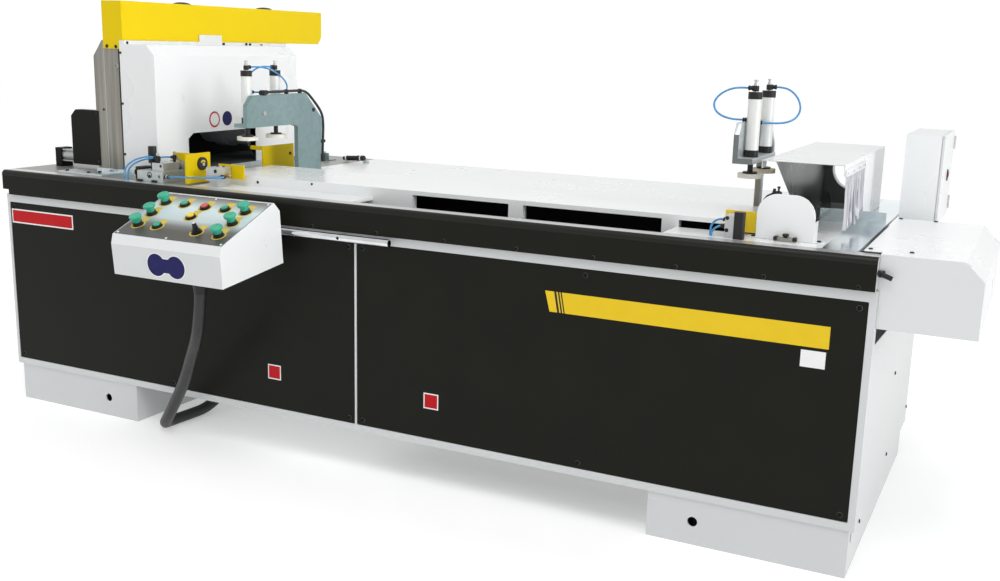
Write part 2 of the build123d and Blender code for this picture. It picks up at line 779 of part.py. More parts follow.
left_places = [(clamp_left_x, y) for y in clamp_left_y]
right_places = [(clamp_right_x, y) for y in clamp_right_y]
with BuildPart() as left_clamp_bracket:
    extruded_x(plate_left_x, left_plate_outline)
    holed_shelf(shelf_left_x, shelf_left_y, shelf_left_z, left_places)
save(left_clamp_bracket, "left_clamp_bracket")

with BuildPart() as right_clamp_bracket:
    extruded_x(plate_right_x, right_plate_outline)
    extruded_y(back_plate_y, back_plate_outline)
    holed_shelf(shelf_right_x, shelf_right_y, shelf_right_z, right_places)
save(right_clamp_bracket, "right_clamp_bracket")

left_body_z = (shelf_left_z[1] + gap, clamp_left_top)
right_body_z = (shelf_right_z[1] + gap, clamp_right_top)
with BuildPart() as clamp_cylinders:
    for places, body_z in ((left_places, left_body_z), (right_places, right_body_z)):
        for place in places:
            upright(place, body_z, clamp_tube_r)
            upright(place, (body_z[0], body_z[0] + clamp_cap), clamp_cap_r)
            upright(place, (body_z[1] - clamp_cap, body_z[1]), clamp_cap_r)
            upright(place, (body_z[1], body_z[1] + port_high), port_r)
            upright(place, (body_z[0] - over, body_z[1] - clamp_cap), clamp_bore, Mode.SUBTRACT)
save(clamp_cylinders, "clamp_cylinders")

for name, places, pad_r, pad_z, top in (
    ("left_clamp_rods", left_places, pad_left_r, pad_left_z, clamp_left_top),
    ("right_clamp_rods", right_places, pad_right_r, pad_right_z, clamp_right_top),
):
    with BuildPart() as clamp_rods:
        for place in places:
            upright(place, (pad_z[1], top - 2 * clamp_cap), clamp_rod_r)
            upright(place, (pad_z[1], pad_z[1] + pad_boss_high), pad_boss_r)
            upright(place, pad_z, pad_r)
    save(clamp_rods, name)

# Left end stop: guide block with a cylinder and a post on top, and the yellow plate that slides out
def along_y(place, y, radius, mode=Mode.ADD):
    """Round bar along y at an (x, z) place."""
    bar((place[0], y[0], place[1]), (place[0], y[1], place[1]), radius, mode)


with BuildPart() as left_stop_cylinder:
    high = (stop_block_z[0] + gap, stop_block_z[1])
    block(stop_block_x, stop_block_y, high)
    block(stop_tail_x, stop_tail_y, high)
    block(stop_body_x, stop_body_y, stop_body_z)
    upright(stop_post_place, (stop_block_z[1], stop_post_z[0]), stop_stem_r)
    upright(stop_post_place, stop_post_z, stop_post_r)
    for x in stop_guides_x:
        guide_y = (stop_block_y[0] - over, stop_tail_y[1] + over)
        along_y((x, stop_guide_z), guide_y, stop_guide_r + rod_clear, Mode.SUBTRACT)
    bore_y = (stop_piston_start - over, stop_body_y[1] + over)
    along_y(stop_piston_place, bore_y, stop_piston_r + rod_clear, Mode.SUBTRACT)
save(left_stop_cylinder, "left_stop_cylinder")

with BuildPart() as left_stop_plate:
    block(stop_plate_x, stop_plate_y, stop_plate_z)
    block(stop_yoke_x, stop_yoke_y, stop_yoke_z)
    block(stop_return_x, stop_return_y, stop_return_z)
    for x in stop_guides_x:
        along_y((x, stop_guide_z), (stop_guide_start, stop_yoke_y[0]), stop_guide_r)
    along_y(stop_piston_place, (stop_piston_start, stop_yoke_y[0]), stop_piston_r)
    along_y(stop_piston_place, (stop_yoke_y[0] - stop_coupling_long, stop_yoke_y[0]), stop_coupling_r)
    bar((stop_plate_x[1], buffer_y, buffer_z), (stop_plate_x[1] + buffer_thick, buffer_y, buffer_z), buffer_r)
save(left_stop_plate, "left_stop_plate")

# Side pushers: cylinder blocks with a rod pair and a yellow plate
def pusher_block(x, y, z, rods):
    """Cylinder block with two rod bores along y."""
    block(x, y, z)
    for place in rods:
        along_y(place, (y[0] + push_bore_inset, y[1] + over), push_rod_r + rod_clear, Mode.SUBTRACT)


def pusher_plate(x, z, block_y, rods):
    """Yellow plate on two rods that slide in the block."""
    block(x, push_plate_y, z)
    for place in rods:
        along_y(place, (block_y[0] + push_rod_inset, push_plate_y[0]), push_rod_r)


with BuildPart() as left_pusher_cylinder:
    pusher_block(push_left_block_x, push_left_block_y, push_left_block_z, push_left_rods)
    block(push_left_foot_x, push_left_foot_y, (deck_top + gap, push_left_block_z[0]))
save(left_pusher_cylinder, "left_pusher_cylinder")

with BuildPart() as left_pusher_plate:
    pusher_plate(push_left_plate_x, push_left_plate_z, push_left_block_y, push_left_rods)
save(left_pusher_plate, "left_pusher_plate")

with BuildPart() as right_pusher_cylinder:
    block(grip_x, grip_y, (grip_z[0] + gap, grip_z[1]))
    fillet(right_pusher_cylinder.edges().filter_by(Axis.Z), grip_corner)
    pusher_block(push_right_block_x, push_right_block_y, push_right_block_z, push_right_rods)
save(right_pusher_cylinder, "right_pusher_cylinder")

with BuildPart() as right_pusher_plate:
    pusher_plate(push_right_plate_x, push_right_plate_z, push_right_block_y, push_right_rods)
save(right_pusher_plate, "right_pusher_plate")

# Yellow rear fence behind the bed
with BuildPart() as rear_fence:
    block((rear_fence_x[1] - rear_fence_thick, rear_fence_x[1]), rear_fence_y, rear_fence_z)
    lip_y = (rear_fence_y[0], rear_fence_y[0] + rear_fence_thick)
    block(rear_fence_x, lip_y, (rear_fence_z[1] - rear_fence_lip, rear_fence_z[1]))
save(rear_fence, "rear_fence")

# Right hood: folded sheet with a round dust outlet at the back
with BuildPart() as right_hood:
    block(hood_x, hood_y, (hood_z[1] - sheet, hood_z[1]))
    extruded_x((hood_wall_x, hood_wall_x + sheet), hood_side)
    right_wall_x = (hood_x[1] - sheet, hood_x[1])
    block(right_wall_x, (hood_gate_y, hood_y[1]), hood_z)
    block(right_wall_x, (hood_y[0], hood_gate_y), (hood_lintel_z, hood_z[1]))
    block((hood_wall_x, hood_x[1]), (hood_y[1] - sheet, hood_y[1]), hood_z)
    block((hood_x[0], hood_x[0] + sheet), (hood_y[0], hood_lip_end), (hood_z[1] - hood_lip, hood_z[1]))
    along_y((duct_x, duct_z), (hood_y[1] - sheet, duct_end), duct_r + sheet)
    along_y((duct_x, duct_z), (hood_y[1] - 2 * sheet, duct_end + over), duct_r, Mode.SUBTRACT)
save(right_hood, "right_hood")

# Strip curtain on the hood's right side: riveted bar and hanging strips
with BuildPart() as strip_curtain:
    block(curtain_x, curtain_y, (curtain_z[1] - curtain_bar, curtain_z[1]))
    strip_pitch = (curtain_y[1] - curtain_y[0]) / strip_count
    for i in range(strip_count):
        low = curtain_y[0] + i * strip_pitch + strip_space / 2
        strip_y = (low, low + strip_pitch - strip_space)
        block((curtain_x[0], curtain_x[0] + strip_thick), strip_y, (curtain_z[0], curtain_z[1] - curtain_bar))
save(strip_curtain, "strip_curtain")

# Blade guard: round-topped plate with side flanges and feet
with BuildPart() as blade_guard:
    block(guard_x, guard_y, guard_z)
    fillet(blade_guard.edges().filter_by(Axis.Y).group_by(Axis.Z)[-1], guard_corner)
    for x in ((guard_x[0], guard_x[0] + sheet), (guard_x[1] - sheet, guard_x[1])):
        block(x, guard_flange_y, guard_flange_z)
    for x in ((guard_x[0] - guard_foot, guard_x[0]), (guard_x[1], guard_x[1] + guard_foot)):
        block(x, (guard_y[0], guard_y[0] + guard_foot), (guard_z[0], guard_z[0] + guard_foot_thick))
    clamp_foot_y = (guard_y[0] - guard_clamp_deep, guard_y[0])
    block(guard_clamp_x, clamp_foot_y, (guard_z[0], guard_z[0] + guard_clamp_high))
save(blade_guard, "blade_guard")

# Motor cover: sheet box open underneath and towards the table
cover_outline = bevelled_outline(motor_cover_x, motor_cover_z, motor_cover_bevel)
cover_hollow = bevelled_hollow(motor_cover_x, motor_cover_z, motor_cover_bevel)
with BuildPart() as motor_cover:
    extruded_y(motor_cover_y, cover_outline)
    extruded_y(inset(motor_cover_y, sheet), cover_hollow, mode=Mode.SUBTRACT)
    frame_side = (motor_cover_x[0] - over, cab_x[1] + over)
    below_deck = (motor_cover_z[0] - over, frame_z[1] + over)
    block(frame_side, inset(motor_cover_y, -over), below_deck, mode=Mode.SUBTRACT)
    corner_x = (motor_cover_x[0] - over, lug_x[0] + over)
    corner_y = (motor_cover_y[0] - over, deck_front)
    block(corner_x, corner_y, inset(motor_cover_z, -over), mode=Mode.SUBTRACT)
save(motor_cover, "motor_cover")

# Right saw: spindle carriage on two rails, motor and blade
def right_bar(x, radius, mode=Mode.ADD):
    """Round bar along the right spindle's axis."""
    bar((x[0], saw_r_y, saw_r_z), (x[1], saw_r_y, saw_r_z), radius, mode)


with BuildPart() as right_saw_carriage:
    block(carriage_x, carriage_y, carriage_z)
    slot_z = (frame_z[1], frame_z[1] + rail_height + run_clear)
    for x in saw_tubes_x:
        block(around(x, shoe_wide), carriage_y, (frame_z[1] + shoe_clear, carriage_z[0]))
        block(around(x, saw_rail_wide + 2 * run_clear), inset(carriage_y, -over), slot_z, mode=Mode.SUBTRACT)
    right_bar(quill_x, quill_r)
    right_bar(inset(quill_x, -over), spindle_r + rod_clear, Mode.SUBTRACT)
save(right_saw_carriage, "right_saw_carriage")

with BuildPart() as right_saw_motor:
    right_bar(motor_right_x, motor_right_r)
    fillet(right_saw_motor.edges().filter_by(GeomType.CIRCLE), motor_edge)
save(right_saw_motor, "right_saw_motor")

with BuildPart() as right_saw_blade:
    saw_disc(blade_right_x, saw_r_y, saw_r_z, blade_right_r)
    right_bar(inset(blade_right_x, -flange_thick), flange_r)
    right_bar((blade_right_x[0] - spindle_end, quill_x[1] - spindle_short), spindle_r)
save(right_saw_blade, "right_saw_blade")

# Electrical box with its mounting plate and switchgear, and the door on its right side
with BuildPart() as electrical_box:
    block(ebox_x, ebox_y, ebox_z)
    inside_x = (ebox_x[0] + ebox_wall, ebox_x[1] + over)
    block(inside_x, inset(ebox_y, ebox_wall), inset(ebox_z, ebox_wall), mode=Mode.SUBTRACT)
    block(ebox_foot_x, ebox_foot_y, (frame_z[1] + gap, ebox_z[0]))
    plate_x = (inside_x[0], inside_x[0] + ebox_plate_thick)
    block(plate_x, inset(ebox_y, ebox_plate_inset), inset(ebox_z, ebox_plate_inset))
    for row_z in switch_rows_z:
        for i in range(switch_count):
            low = switch_first_y + i * switch_pitch
            switch_y = (low, low + switch_wide)
            block((plate_x[1], plate_x[1] + switch_deep), switch_y, around(row_z, switch_high))
save(electrical_box, "electrical_box")

with BuildPart() as electrical_box_door:
    block(door_x, ebox_y, ebox_z)
    hollow_x = (door_x[0] - over, door_x[1] - ebox_wall)
    block(hollow_x, inset(ebox_y, ebox_wall), inset(ebox_z, ebox_wall), mode=Mode.SUBTRACT)
save(electrical_box_door, "electrical_box_door")

# Lever at the right end of the front rail
with BuildPart() as rail_lever:
    pivot_place = (lever_pivot[0], lever_pivot[2])
    along_y(pivot_place, lever_hub_y, lever_hub_r)
    bar(lever_pivot, lever_tip, lever_r)
    along_y(pivot_place, inset(lever_hub_y, -over), lever_pin_r + rod_clear, Mode.SUBTRACT)
save(rail_lever, "rail_lever")

# Console box with the hooks that ride on the tube and the conduit gland
slope = hypot(panel_high[0] - panel_low[0], panel_high[1] - panel_low[1])
up_slope = ((panel_high[0] - panel_low[0]) / slope, (panel_high[1] - panel_low[1]) / slope)
face = Plane(origin=(console_x[0], *panel_low), x_dir=(1, 0, 0), z_dir=(0, -up_slope[1], up_slope[0]))


def control_plane(u, v):
    """Plane on the console face at a control."""
    return Plane(origin=face.from_local_coords((u, v, 0)), x_dir=face.x_dir, z_dir=face.z_dir)


def control_disc(place, z, radius, mode=Mode.ADD):
    """Disc square to the console face, between two heights above it."""
    with Locations(place.offset(z[0])):
        Cylinder(radius, z[1] - z[0], align=(Align.CENTER, Align.CENTER, Align.MIN), mode=mode)


with BuildPart() as console_box:
    extruded_x(console_x, console_outline)
    for x in hooks_x:
        block(around(x, hook_width), hook_y, hook_z)
    bar((gland_x, gland_y, gland_z[0]), (gland_x, gland_y, gland_z[1]), gland_r)
    extruded_x(inset(console_x, sheet), console_outline, shrink=sheet, mode=Mode.SUBTRACT)
    bar((console_x[0], tube_y, tube_z), (console_x[1], tube_y, tube_z), tube_r + rod_clear, Mode.SUBTRACT)
    block(console_x, (tube_y, hook_y[1] + over), around(tube_z, hook_slot), mode=Mode.SUBTRACT)
    for name, kind, u, v in controls:
        control_disc(control_plane(u, v), (-2 * sheet, sheet), barrel_r + gap, Mode.SUBTRACT)
save(console_box, "console_box")

with BuildPart() as console_tube:
    bar((tube_x[0], tube_y, tube_z), (tube_x[1], tube_y, tube_z), tube_r)
    for x in spacers_x:
        bar((x, tube_y, tube_z), (x, cab_y[0] - gap, tube_z), spacer_r)
    bar((tube_x[0] - over, tube_y, tube_z), (tube_x[1] + over, tube_y, tube_z), tube_bore, Mode.SUBTRACT)
    for x in spacers_x:
        bar((x, tube_y - 2 * tube_r, tube_z), (x, tube_y, tube_z), tube_hole_r, Mode.SUBTRACT)
save(console_tube, "console_tube")

# Control barrels with their collars and bezels, and the lamp's lens
with BuildPart() as control_bezels:
    for name, kind, u, v in controls:
        place = control_plane(u, v)
        high, bore = (collar_high, collar_bore) if kind == "mushroom" else (bezel_high, cap_bore)
        control_disc(place, (gap, high), bezel_r)
        control_disc(place, (-barrel_deep, gap), barrel_r)
        control_disc(place, (collar_floor, high + over), bore, Mode.SUBTRACT)
        control_disc(place, (-barrel_deep - over, high), stem_bore, Mode.SUBTRACT)
        if kind == "lamp":
            control_disc(place, lens_z, cap_r)
save(control_bezels, "control_bezels")

# Moving controls
for name, kind, u, v in controls:
    if kind == "lamp":
        continue
    place = control_plane(u, v)
    with BuildPart() as control:
        if kind == "mushroom":
            control_disc(place, (stem_low, neck_z[0]), stem_r)
            with Locations(place.offset(neck_z[0])):
                Cone(*neck_r, neck_z[1] - neck_z[0], align=(Align.CENTER, Align.CENTER, Align.MIN))
            control_disc(place, head_z, head_r)
            fillet(control.edges().filter_by(GeomType.CIRCLE).sort_by(SortBy.RADIUS)[-2:], head_round)
        else:
            control_disc(place, (stem_low, cap_z[0]), stem_r)
            control_disc(place, cap_z, cap_r)
            fillet(control.edges().filter_by(GeomType.CIRCLE).sort_by(Axis.Z)[-1:], cap_round)
        if kind == "selector":
            with BuildSketch(Plane(origin=place.origin, x_dir=place.y_dir, z_dir=place.x_dir)) as handle:
                with BuildLine():
                    Polyline(*handle_outline, close=True)
                make_face()
            extrude(handle.sketch, amount=handle_wide / 2, both=True)
    save(control, name)

# Conduit and hoses
with BuildPart() as conduit:
    expected = round_tube(conduit_points, conduit_r, "conduit")
    print("conduit volume", round(conduit.part.volume), "expected", round(expected))
save(conduit, "conduit")

with BuildPart() as air_hoses:
    expected = sum(round_tube(points, hose_r, f"hose {i}") for i, points in enumerate(hose_routes))
    expected += round_tube(clip_hose_route, clip_hose_r, "clipped hose")
    print("hose volume", round(air_hoses.part.volume), "expected", round(expected))
save(air_hoses, "air_hoses")

# Screws of the front panels and the front rail
def ring_screw(place, y, radius):
    """Socket-headed screw seen from the front at an (x, z) place."""
    along_y(place, (y - screw_high, y), radius)
    along_y(place, (y - screw_high - over, y - over), radius / 2, Mode.SUBTRACT)


with BuildPart() as fasteners:
    for x in (panel_left_x, panel_right_x):
        for screw_x in (x[0] + panel_screw_inset, (x[0] + x[1]) / 2, x[1] - panel_screw_inset):
            for z in panel_screws_z:
                ring_screw((screw_x, z), panel_y[0], panel_screw_r)
    for i in range(rail_screw_count):
        screw_x = rail_screw_first - i * rail_screw_pitch
        ring_screw((screw_x, rail_screw_z), rail_y[0], rail_screw_r)
save(fasteners, "fasteners")
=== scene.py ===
from math import cos, hypot, pi, radians, sin

import bmesh
import bpy
from mathutils import Matrix, Vector


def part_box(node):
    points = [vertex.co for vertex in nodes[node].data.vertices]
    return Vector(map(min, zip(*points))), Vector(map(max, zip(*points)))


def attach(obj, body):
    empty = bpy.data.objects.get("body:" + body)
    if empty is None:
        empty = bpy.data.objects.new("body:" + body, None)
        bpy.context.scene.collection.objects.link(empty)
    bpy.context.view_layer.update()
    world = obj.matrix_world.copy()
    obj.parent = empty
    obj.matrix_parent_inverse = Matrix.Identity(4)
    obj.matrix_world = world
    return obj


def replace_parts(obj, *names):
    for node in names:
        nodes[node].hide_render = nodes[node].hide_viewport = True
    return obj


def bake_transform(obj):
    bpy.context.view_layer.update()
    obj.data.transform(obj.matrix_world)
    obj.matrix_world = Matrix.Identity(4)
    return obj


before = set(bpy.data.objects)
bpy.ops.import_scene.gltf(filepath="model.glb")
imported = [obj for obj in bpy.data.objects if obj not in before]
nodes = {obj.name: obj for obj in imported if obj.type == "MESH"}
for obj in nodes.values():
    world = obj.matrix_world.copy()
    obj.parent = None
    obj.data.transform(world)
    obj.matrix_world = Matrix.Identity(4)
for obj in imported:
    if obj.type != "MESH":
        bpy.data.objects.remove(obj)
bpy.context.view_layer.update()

# A millimetre in metres, and the ways that screws, studs and rings face
MM = 0.001
TO_FRONT, TO_RIGHT, TO_TOP, TO_FLOOR = (0, -1, 0), (1, 0, 0), (0, 0, 1), (0, 0, -1)

# Camera at the photo's view
focal_px = 1111.459
image_wide = 1000
sensor_mm = 36
far_clip = 100
turn, tilt, roll = radians(26.12545), radians(12.43889), radians(1.4384)
camera_at = Vector((1.82923, -3.44548, 1.4058))
forward = Vector((-sin(turn) * cos(tilt), cos(turn) * cos(tilt), -sin(tilt)))
level = Vector((cos(turn), sin(turn), 0))
rise = level.cross(forward)
right = cos(roll) * level + sin(roll) * rise
up = cos(roll) * rise - sin(roll) * level
camera_data = bpy.data.cameras.new("camera")
camera_data.sensor_width = sensor_mm
camera_data.lens = focal_px * sensor_mm / image_wide
camera_data.clip_end = far_clip
camera = bpy.data.objects.new("camera", camera_data)
camera.matrix_world = Matrix.Translation(camera_at) @ Matrix((right, up, -forward)).transposed().to_4x4()
bpy.context.scene.collection.objects.link(camera)
bpy.context.scene.camera = camera

# Shared by the materials: ends and fineness of their noise, share of the zinc spangle, depth of the
# relief and roughness of the clear coat
cloud_low, cloud_high = 0.3, 0.7
cloud_detail, fine_detail = 5, 2
spangle_share = 0.18
relief_depth = 0.0006
coat_rough = 0.08


def set_sockets(node, **values):
    """Node with values on its sockets, whose names have _ for a space."""
    for socket, value in values.items():
        node.inputs[socket.replace("_", " ")].default_value = value
    return node


def add_node(tree, kind, **values):
    """New shader node with values on its sockets."""
    return set_sockets(tree.nodes.new("ShaderNode" + kind), **values)


def surface(name, low, high, rough, metal=0.0, grain=6.0, stretch=(1, 1, 1), bump=0.05, bump_grain=400.0,
            coat=0.0, specular=0.5, spangle=0.0):
    """Material whose colour, roughness and relief vary with noise fixed to the piece."""
    material = bpy.data.materials.new(name)
    material.use_nodes = True
    tree, link = material.node_tree, material.node_tree.links.new
    shader = set_sockets(tree.nodes["Principled BSDF"], Metallic=metal, Specular_IOR_Level=specular,
                         Coat_Weight=coat, Coat_Roughness=coat_rough)
    place = add_node(tree, "TexCoord")
    mapping = add_node(tree, "Mapping", Scale=stretch)
    link(place.outputs["Object"], mapping.inputs["Vector"])
    cloud = add_node(tree, "TexNoise", Scale=grain, Detail=cloud_detail)
    link(mapping.outputs["Vector"], cloud.inputs["Vector"])
    pattern = cloud.outputs["Fac"]
    if spangle:
        cells = add_node(tree, "TexVoronoi", Scale=spangle)
        link(place.outputs["Object"], cells.inputs["Vector"])
        shade = add_node(tree, "RGBToBW")
        link(cells.outputs["Color"], shade.inputs["Color"])
        both = add_node(tree, "Mix", Factor=spangle_share)
        link(pattern, both.inputs["A"])
        link(shade.outputs["Val"], both.inputs["B"])
        pattern = both.outputs["Result"]
    ramp = add_node(tree, "ValToRGB")
    for stop, position, colour in zip(ramp.color_ramp.elements, (cloud_low, cloud_high), (low, high)):
        stop.position = position
        stop.color = (*colour, 1)
    link(pattern, ramp.inputs["Fac"])
    link(ramp.outputs["Color"], shader.inputs["Base Color"])
    spread = add_node(tree, "MapRange", From_Min=cloud_low, From_Max=cloud_high, To_Min=rough[0],
                      To_Max=rough[1])
    link(pattern, spread.inputs["Value"])
    link(spread.outputs["Result"], shader.inputs["Roughness"])
    fine = add_node(tree, "TexNoise", Scale=bump_grain, Detail=fine_detail)
    link(mapping.outputs["Vector"], fine.inputs["Vector"])
    relief = add_node(tree, "Bump", Strength=bump, Distance=relief_depth)
    link(fine.outputs["Fac"], relief.inputs["Height"])
    link(relief.outputs["Normal"], shader.inputs["Normal"])
    return material


def paint(name, low, high, rough=(0.26, 0.32), coat=0.1):
    """Smooth sprayed paint."""
    return surface(name, low, high, rough, bump=0.008, coat=coat)


def print_ink(name, low, high, rough=(0.3, 0.4), specular=0.1):
    """Printed plate or film."""
    return surface(name, low, high, rough, grain=20, specular=specular)


# Materials
# The whites are lighter and darker copies of one white paint: the lighter ones are painted light for lit
# parts and faces, the darker ones painted shade for low, leaning and shaded parts
white = paint("white_paint", (0.7, 0.717, 0.718), (0.712, 0.729, 0.73))
low_shaded_white = paint("frame_shaded_white", (0.56, 0.575, 0.58), (0.575, 0.59, 0.595), (0.3, 0.36), 0.06)
lit_box_white = paint("lit_box_white", (0.86, 0.875, 0.88), (0.87, 0.885, 0.89))
lit_white = paint("lit_white", (0.795, 0.81, 0.815), (0.805, 0.82, 0.825))
shaded_cover_white = paint("shaded_cover_white", (0.63, 0.645, 0.65), (0.64, 0.655, 0.66))
shaded_console_white = paint("shaded_console_white", (0.585, 0.605, 0.605), (0.605, 0.625, 0.625), (0.28, 0.34), 0.08)
black = surface("black_paint", (0.0085, 0.0088, 0.0064), (0.0105, 0.0108, 0.008), (0.34, 0.46), specular=0.1)
edge_black = surface("edge_black", (0.01, 0.01, 0.008), (0.013, 0.013, 0.01), (0.34, 0.42), bump=0.012,
                     specular=0.2)
# Painted reflection: light metal for the top of the black deck edge, standing for the light it mirrors
edge_highlight = surface("edge_highlight", (0.5, 0.51, 0.51), (0.58, 0.59, 0.59), (0.28, 0.36), metal=0.6,
                     stretch=(0.2, 1, 1), bump=0.01)
yellow = surface("yellow_paint", (0.67, 0.49, 0.002), (0.69, 0.505, 0.003), (0.34, 0.42), bump=0.012,
                 specular=0.1)
# Lighter copy of the yellow paint: painted light for the cover's lit side
lit_side_yellow = surface("lit_side_yellow", (0.765, 0.56, 0.002), (0.785, 0.575, 0.003), (0.34, 0.42), bump=0.012,
                      specular=0.1)
# Lighter copy of the yellow paint: painted light for the shaded front of the right pusher plate
lit_yellow = surface("lit_yellow", (0.84, 0.6, 0.02), (0.88, 0.64, 0.03), (0.3, 0.4), bump=0.012)
grey = surface("grey_paint", (0.24, 0.26, 0.28), (0.3, 0.32, 0.34), (0.4, 0.5))
# Painted shade for the inside of the hood
hood_shade_grey = surface("hood_inside_shade", (0.32, 0.34, 0.33), (0.36, 0.38, 0.37), (0.25, 0.35), bump=0.01)
zinc = surface("galvanised", (0.19, 0.28, 0.285), (0.29, 0.385, 0.395), (0.34, 0.44), metal=0.7, grain=5,
               stretch=(1, 1, 0.3), bump=0.02, spangle=70)
# Lighter, greyer copy of the zinc for the right bracket: partly a greyer finish, partly painted light
lit_grey_zinc = surface("lit_grey_zinc", (0.52, 0.56, 0.57), (0.62, 0.66, 0.67), (0.3, 0.42), metal=0.5, grain=5,
                      stretch=(1, 1, 0.3), bump=0.02, spangle=70)
shade_zinc = surface("shade_zinc", (0.12, 0.135, 0.14), (0.18, 0.195, 0.2), (0.34, 0.44), metal=0.3,
                     grain=8, bump=0.02)
# Lighter copy of the zinc: painted reflection for the table strip and other bright zinc plates
sheen_strip_zinc = surface("sheen_strip_zinc", (0.58, 0.66, 0.69), (0.78, 0.86, 0.89), (0.12, 0.24), metal=0.85, grain=6,
                     stretch=(0.3, 1, 1), bump=0.01, spangle=60)
column_zinc = surface("column_zinc", (0.16, 0.155, 0.13), (0.36, 0.35, 0.31), (0.34, 0.46), metal=0.7,
                      grain=10, stretch=(4, 4, 0.12), bump=0.02)
deck_metal = surface("deck_metal", (0.24, 0.245, 0.225), (0.33, 0.335, 0.31), (0.36, 0.46), metal=0.5,
                     grain=8, bump=0.02)
steel = surface("steel", (0.48, 0.48, 0.48), (0.64, 0.64, 0.64), (0.25, 0.4), metal=1, grain=60)
dark_steel = surface("dark_steel", (0.02, 0.02, 0.02), (0.04, 0.04, 0.038), (0.3, 0.42), metal=0.5, grain=60)
blade_steel = surface("blade_steel", (0.16, 0.16, 0.16), (0.24, 0.24, 0.24), (0.25, 0.38), metal=1, grain=40)
aluminium = surface("aluminium", (0.46, 0.48, 0.48), (0.55, 0.57, 0.57), (0.3, 0.42), metal=0.6, grain=40,
                    stretch=(1, 1, 0.1), bump=0.02)
tube_white = surface("tube_white", (0.7, 0.71, 0.69), (0.76, 0.77, 0.75), (0.26, 0.36), metal=0.25, grain=40,
                     stretch=(1, 1, 0.1), bump=0.01)
ring_grey = surface("ring_grey", (0.075, 0.075, 0.07), (0.11, 0.11, 0.105), (0.3, 0.4), metal=0.4, grain=60)
cast_grey = surface("cast_grey", (0.4, 0.44, 0.43), (0.52, 0.56, 0.55), (0.35, 0.5), metal=0.5, grain=50)
chrome = surface("chrome", (0.7, 0.71, 0.73), (0.8, 0.81, 0.82), (0.08, 0.16), metal=1, bump=0.01, grain=30)
brass = surface("brass", (0.42, 0.3, 0.1), (0.55, 0.4, 0.16), (0.25, 0.4), metal=1, grain=60)
plastic = surface("black_plastic", (0.01, 0.01, 0.01), (0.018, 0.018, 0.018), (0.35, 0.5), specular=0.3)
green = surface("green_plastic", (0.022, 0.33, 0.2), (0.034, 0.41, 0.26), (0.25, 0.35), grain=40)
red = surface("red_plastic", (0.55, 0.05, 0.04), (0.65, 0.07, 0.06), (0.25, 0.35), grain=40)
amber = surface("lamp_lens", (0.8, 0.55, 0.02), (0.9, 0.66, 0.05), (0.15, 0.25), grain=40)
hose_blue = surface("blue_hose", (0.045, 0.235, 0.5), (0.065, 0.3, 0.6), (0.15, 0.25), grain=30)
rubber = surface("conduit_rubber", (0.01, 0.01, 0.01), (0.018, 0.018, 0.018), (0.38, 0.5), grain=12)
milky = surface("curtain_plastic", (0.34, 0.35, 0.4), (0.86, 0.86, 0.91), (0.12, 0.25), grain=40,
                stretch=(0.3, 1, 0.04), bump=0.02)
set_sockets(milky.node_tree.nodes["Principled BSDF"], Transmission_Weight=0.3)
pad_white = surface("pad_plastic", (0.66, 0.64, 0.56), (0.76, 0.74, 0.66), (0.4, 0.5), grain=30)
pad_tan = surface("pad_wood", (0.5, 0.41, 0.27), (0.66, 0.57, 0.43), (0.45, 0.6), grain=30,
                  stretch=(1, 0.2, 1))
shade_black = surface("inside_shade_black", (0.006, 0.006, 0.006), (0.012, 0.012, 0.012), (0.6, 0.8), specular=0.1)
label_red = print_ink("label_red", (0.44, 0.008, 0.012), (0.47, 0.011, 0.015))
label_yellow = print_ink("label_yellow", (0.71, 0.49, 0.018), (0.74, 0.515, 0.022))
legend_yellow = print_ink("legend_yellow", (0.6, 0.46, 0.07), (0.64, 0.5, 0.09))
label_white = print_ink("label_white", (0.76, 0.76, 0.76), (0.79, 0.79, 0.79), specular=0.5)
label_blue = print_ink("label_blue", (0.012, 0.012, 0.08), (0.017, 0.016, 0.1), (0.25, 0.35))

# Main finish of each node; the lighter and darker whites among them are painted light and painted shade
looks = {
    low_shaded_white: "base_frame plinths cover_panels",
    white: "deck_plates bed_beam left_housing electrical_box_door",
    lit_box_white: "electrical_box",
    lit_white: "blade_guard table_plate",
    shaded_cover_white: "motor_cover right_hood",
    shaded_console_white: "console_box",
    black: "front_panel_left front_panel_right front_rail side_cover side_cylinder fasteners",
    edge_black: "deck_edge",
    yellow: "beam_cover left_stop_plate left_pusher_plate rear_fence",
    lit_yellow: "right_pusher_plate",
    grey: "guide_beam left_saw_carriage left_saw_motor right_saw_carriage right_saw_motor",
    zinc: "left_clamp_bracket",
    lit_grey_zinc: "right_clamp_bracket",
    sheen_strip_zinc: "table_strip",
    column_zinc: "left_stand",
    plastic: "left_clamp_rods right_clamp_rods rail_lever control_bezels selector_knob",
    blade_steel: "left_saw_blade right_saw_blade",
    tube_white: "clamp_cylinders",
    aluminium: "left_pusher_cylinder right_pusher_cylinder",
    cast_grey: "left_stop_cylinder",
    chrome: "console_tube side_cylinder_rod",
    green: "green_mushroom_1 green_mushroom_2 green_mushroom_3 green_mushroom_4 green_mushroom_5 "
           "green_mushroom_6 green_button_1 green_button_2 green_button_3",
    red: "red_button",
    hose_blue: "air_hoses",
    rubber: "conduit",
    milky: "strip_curtain",
}
for material, names in looks.items():
    for name in names.split():
        nodes[name].data.materials.clear()
        nodes[name].data.materials.append(material)


def repaint(name, material, test):
    """Second material for the faces of a CAD node whose middle, in millimetres, passes a test."""
    data = nodes[name].data
    data.materials.append(material)
    for face in data.polygons:
        if test(*(face.center / MM)):
            face.material_index = len(data.materials) - 1


def inside(*spans):
    """Test for points that lie between two places along each axis."""
    return lambda *point: all(low < value < high for value, (low, high) in zip(point, spans))


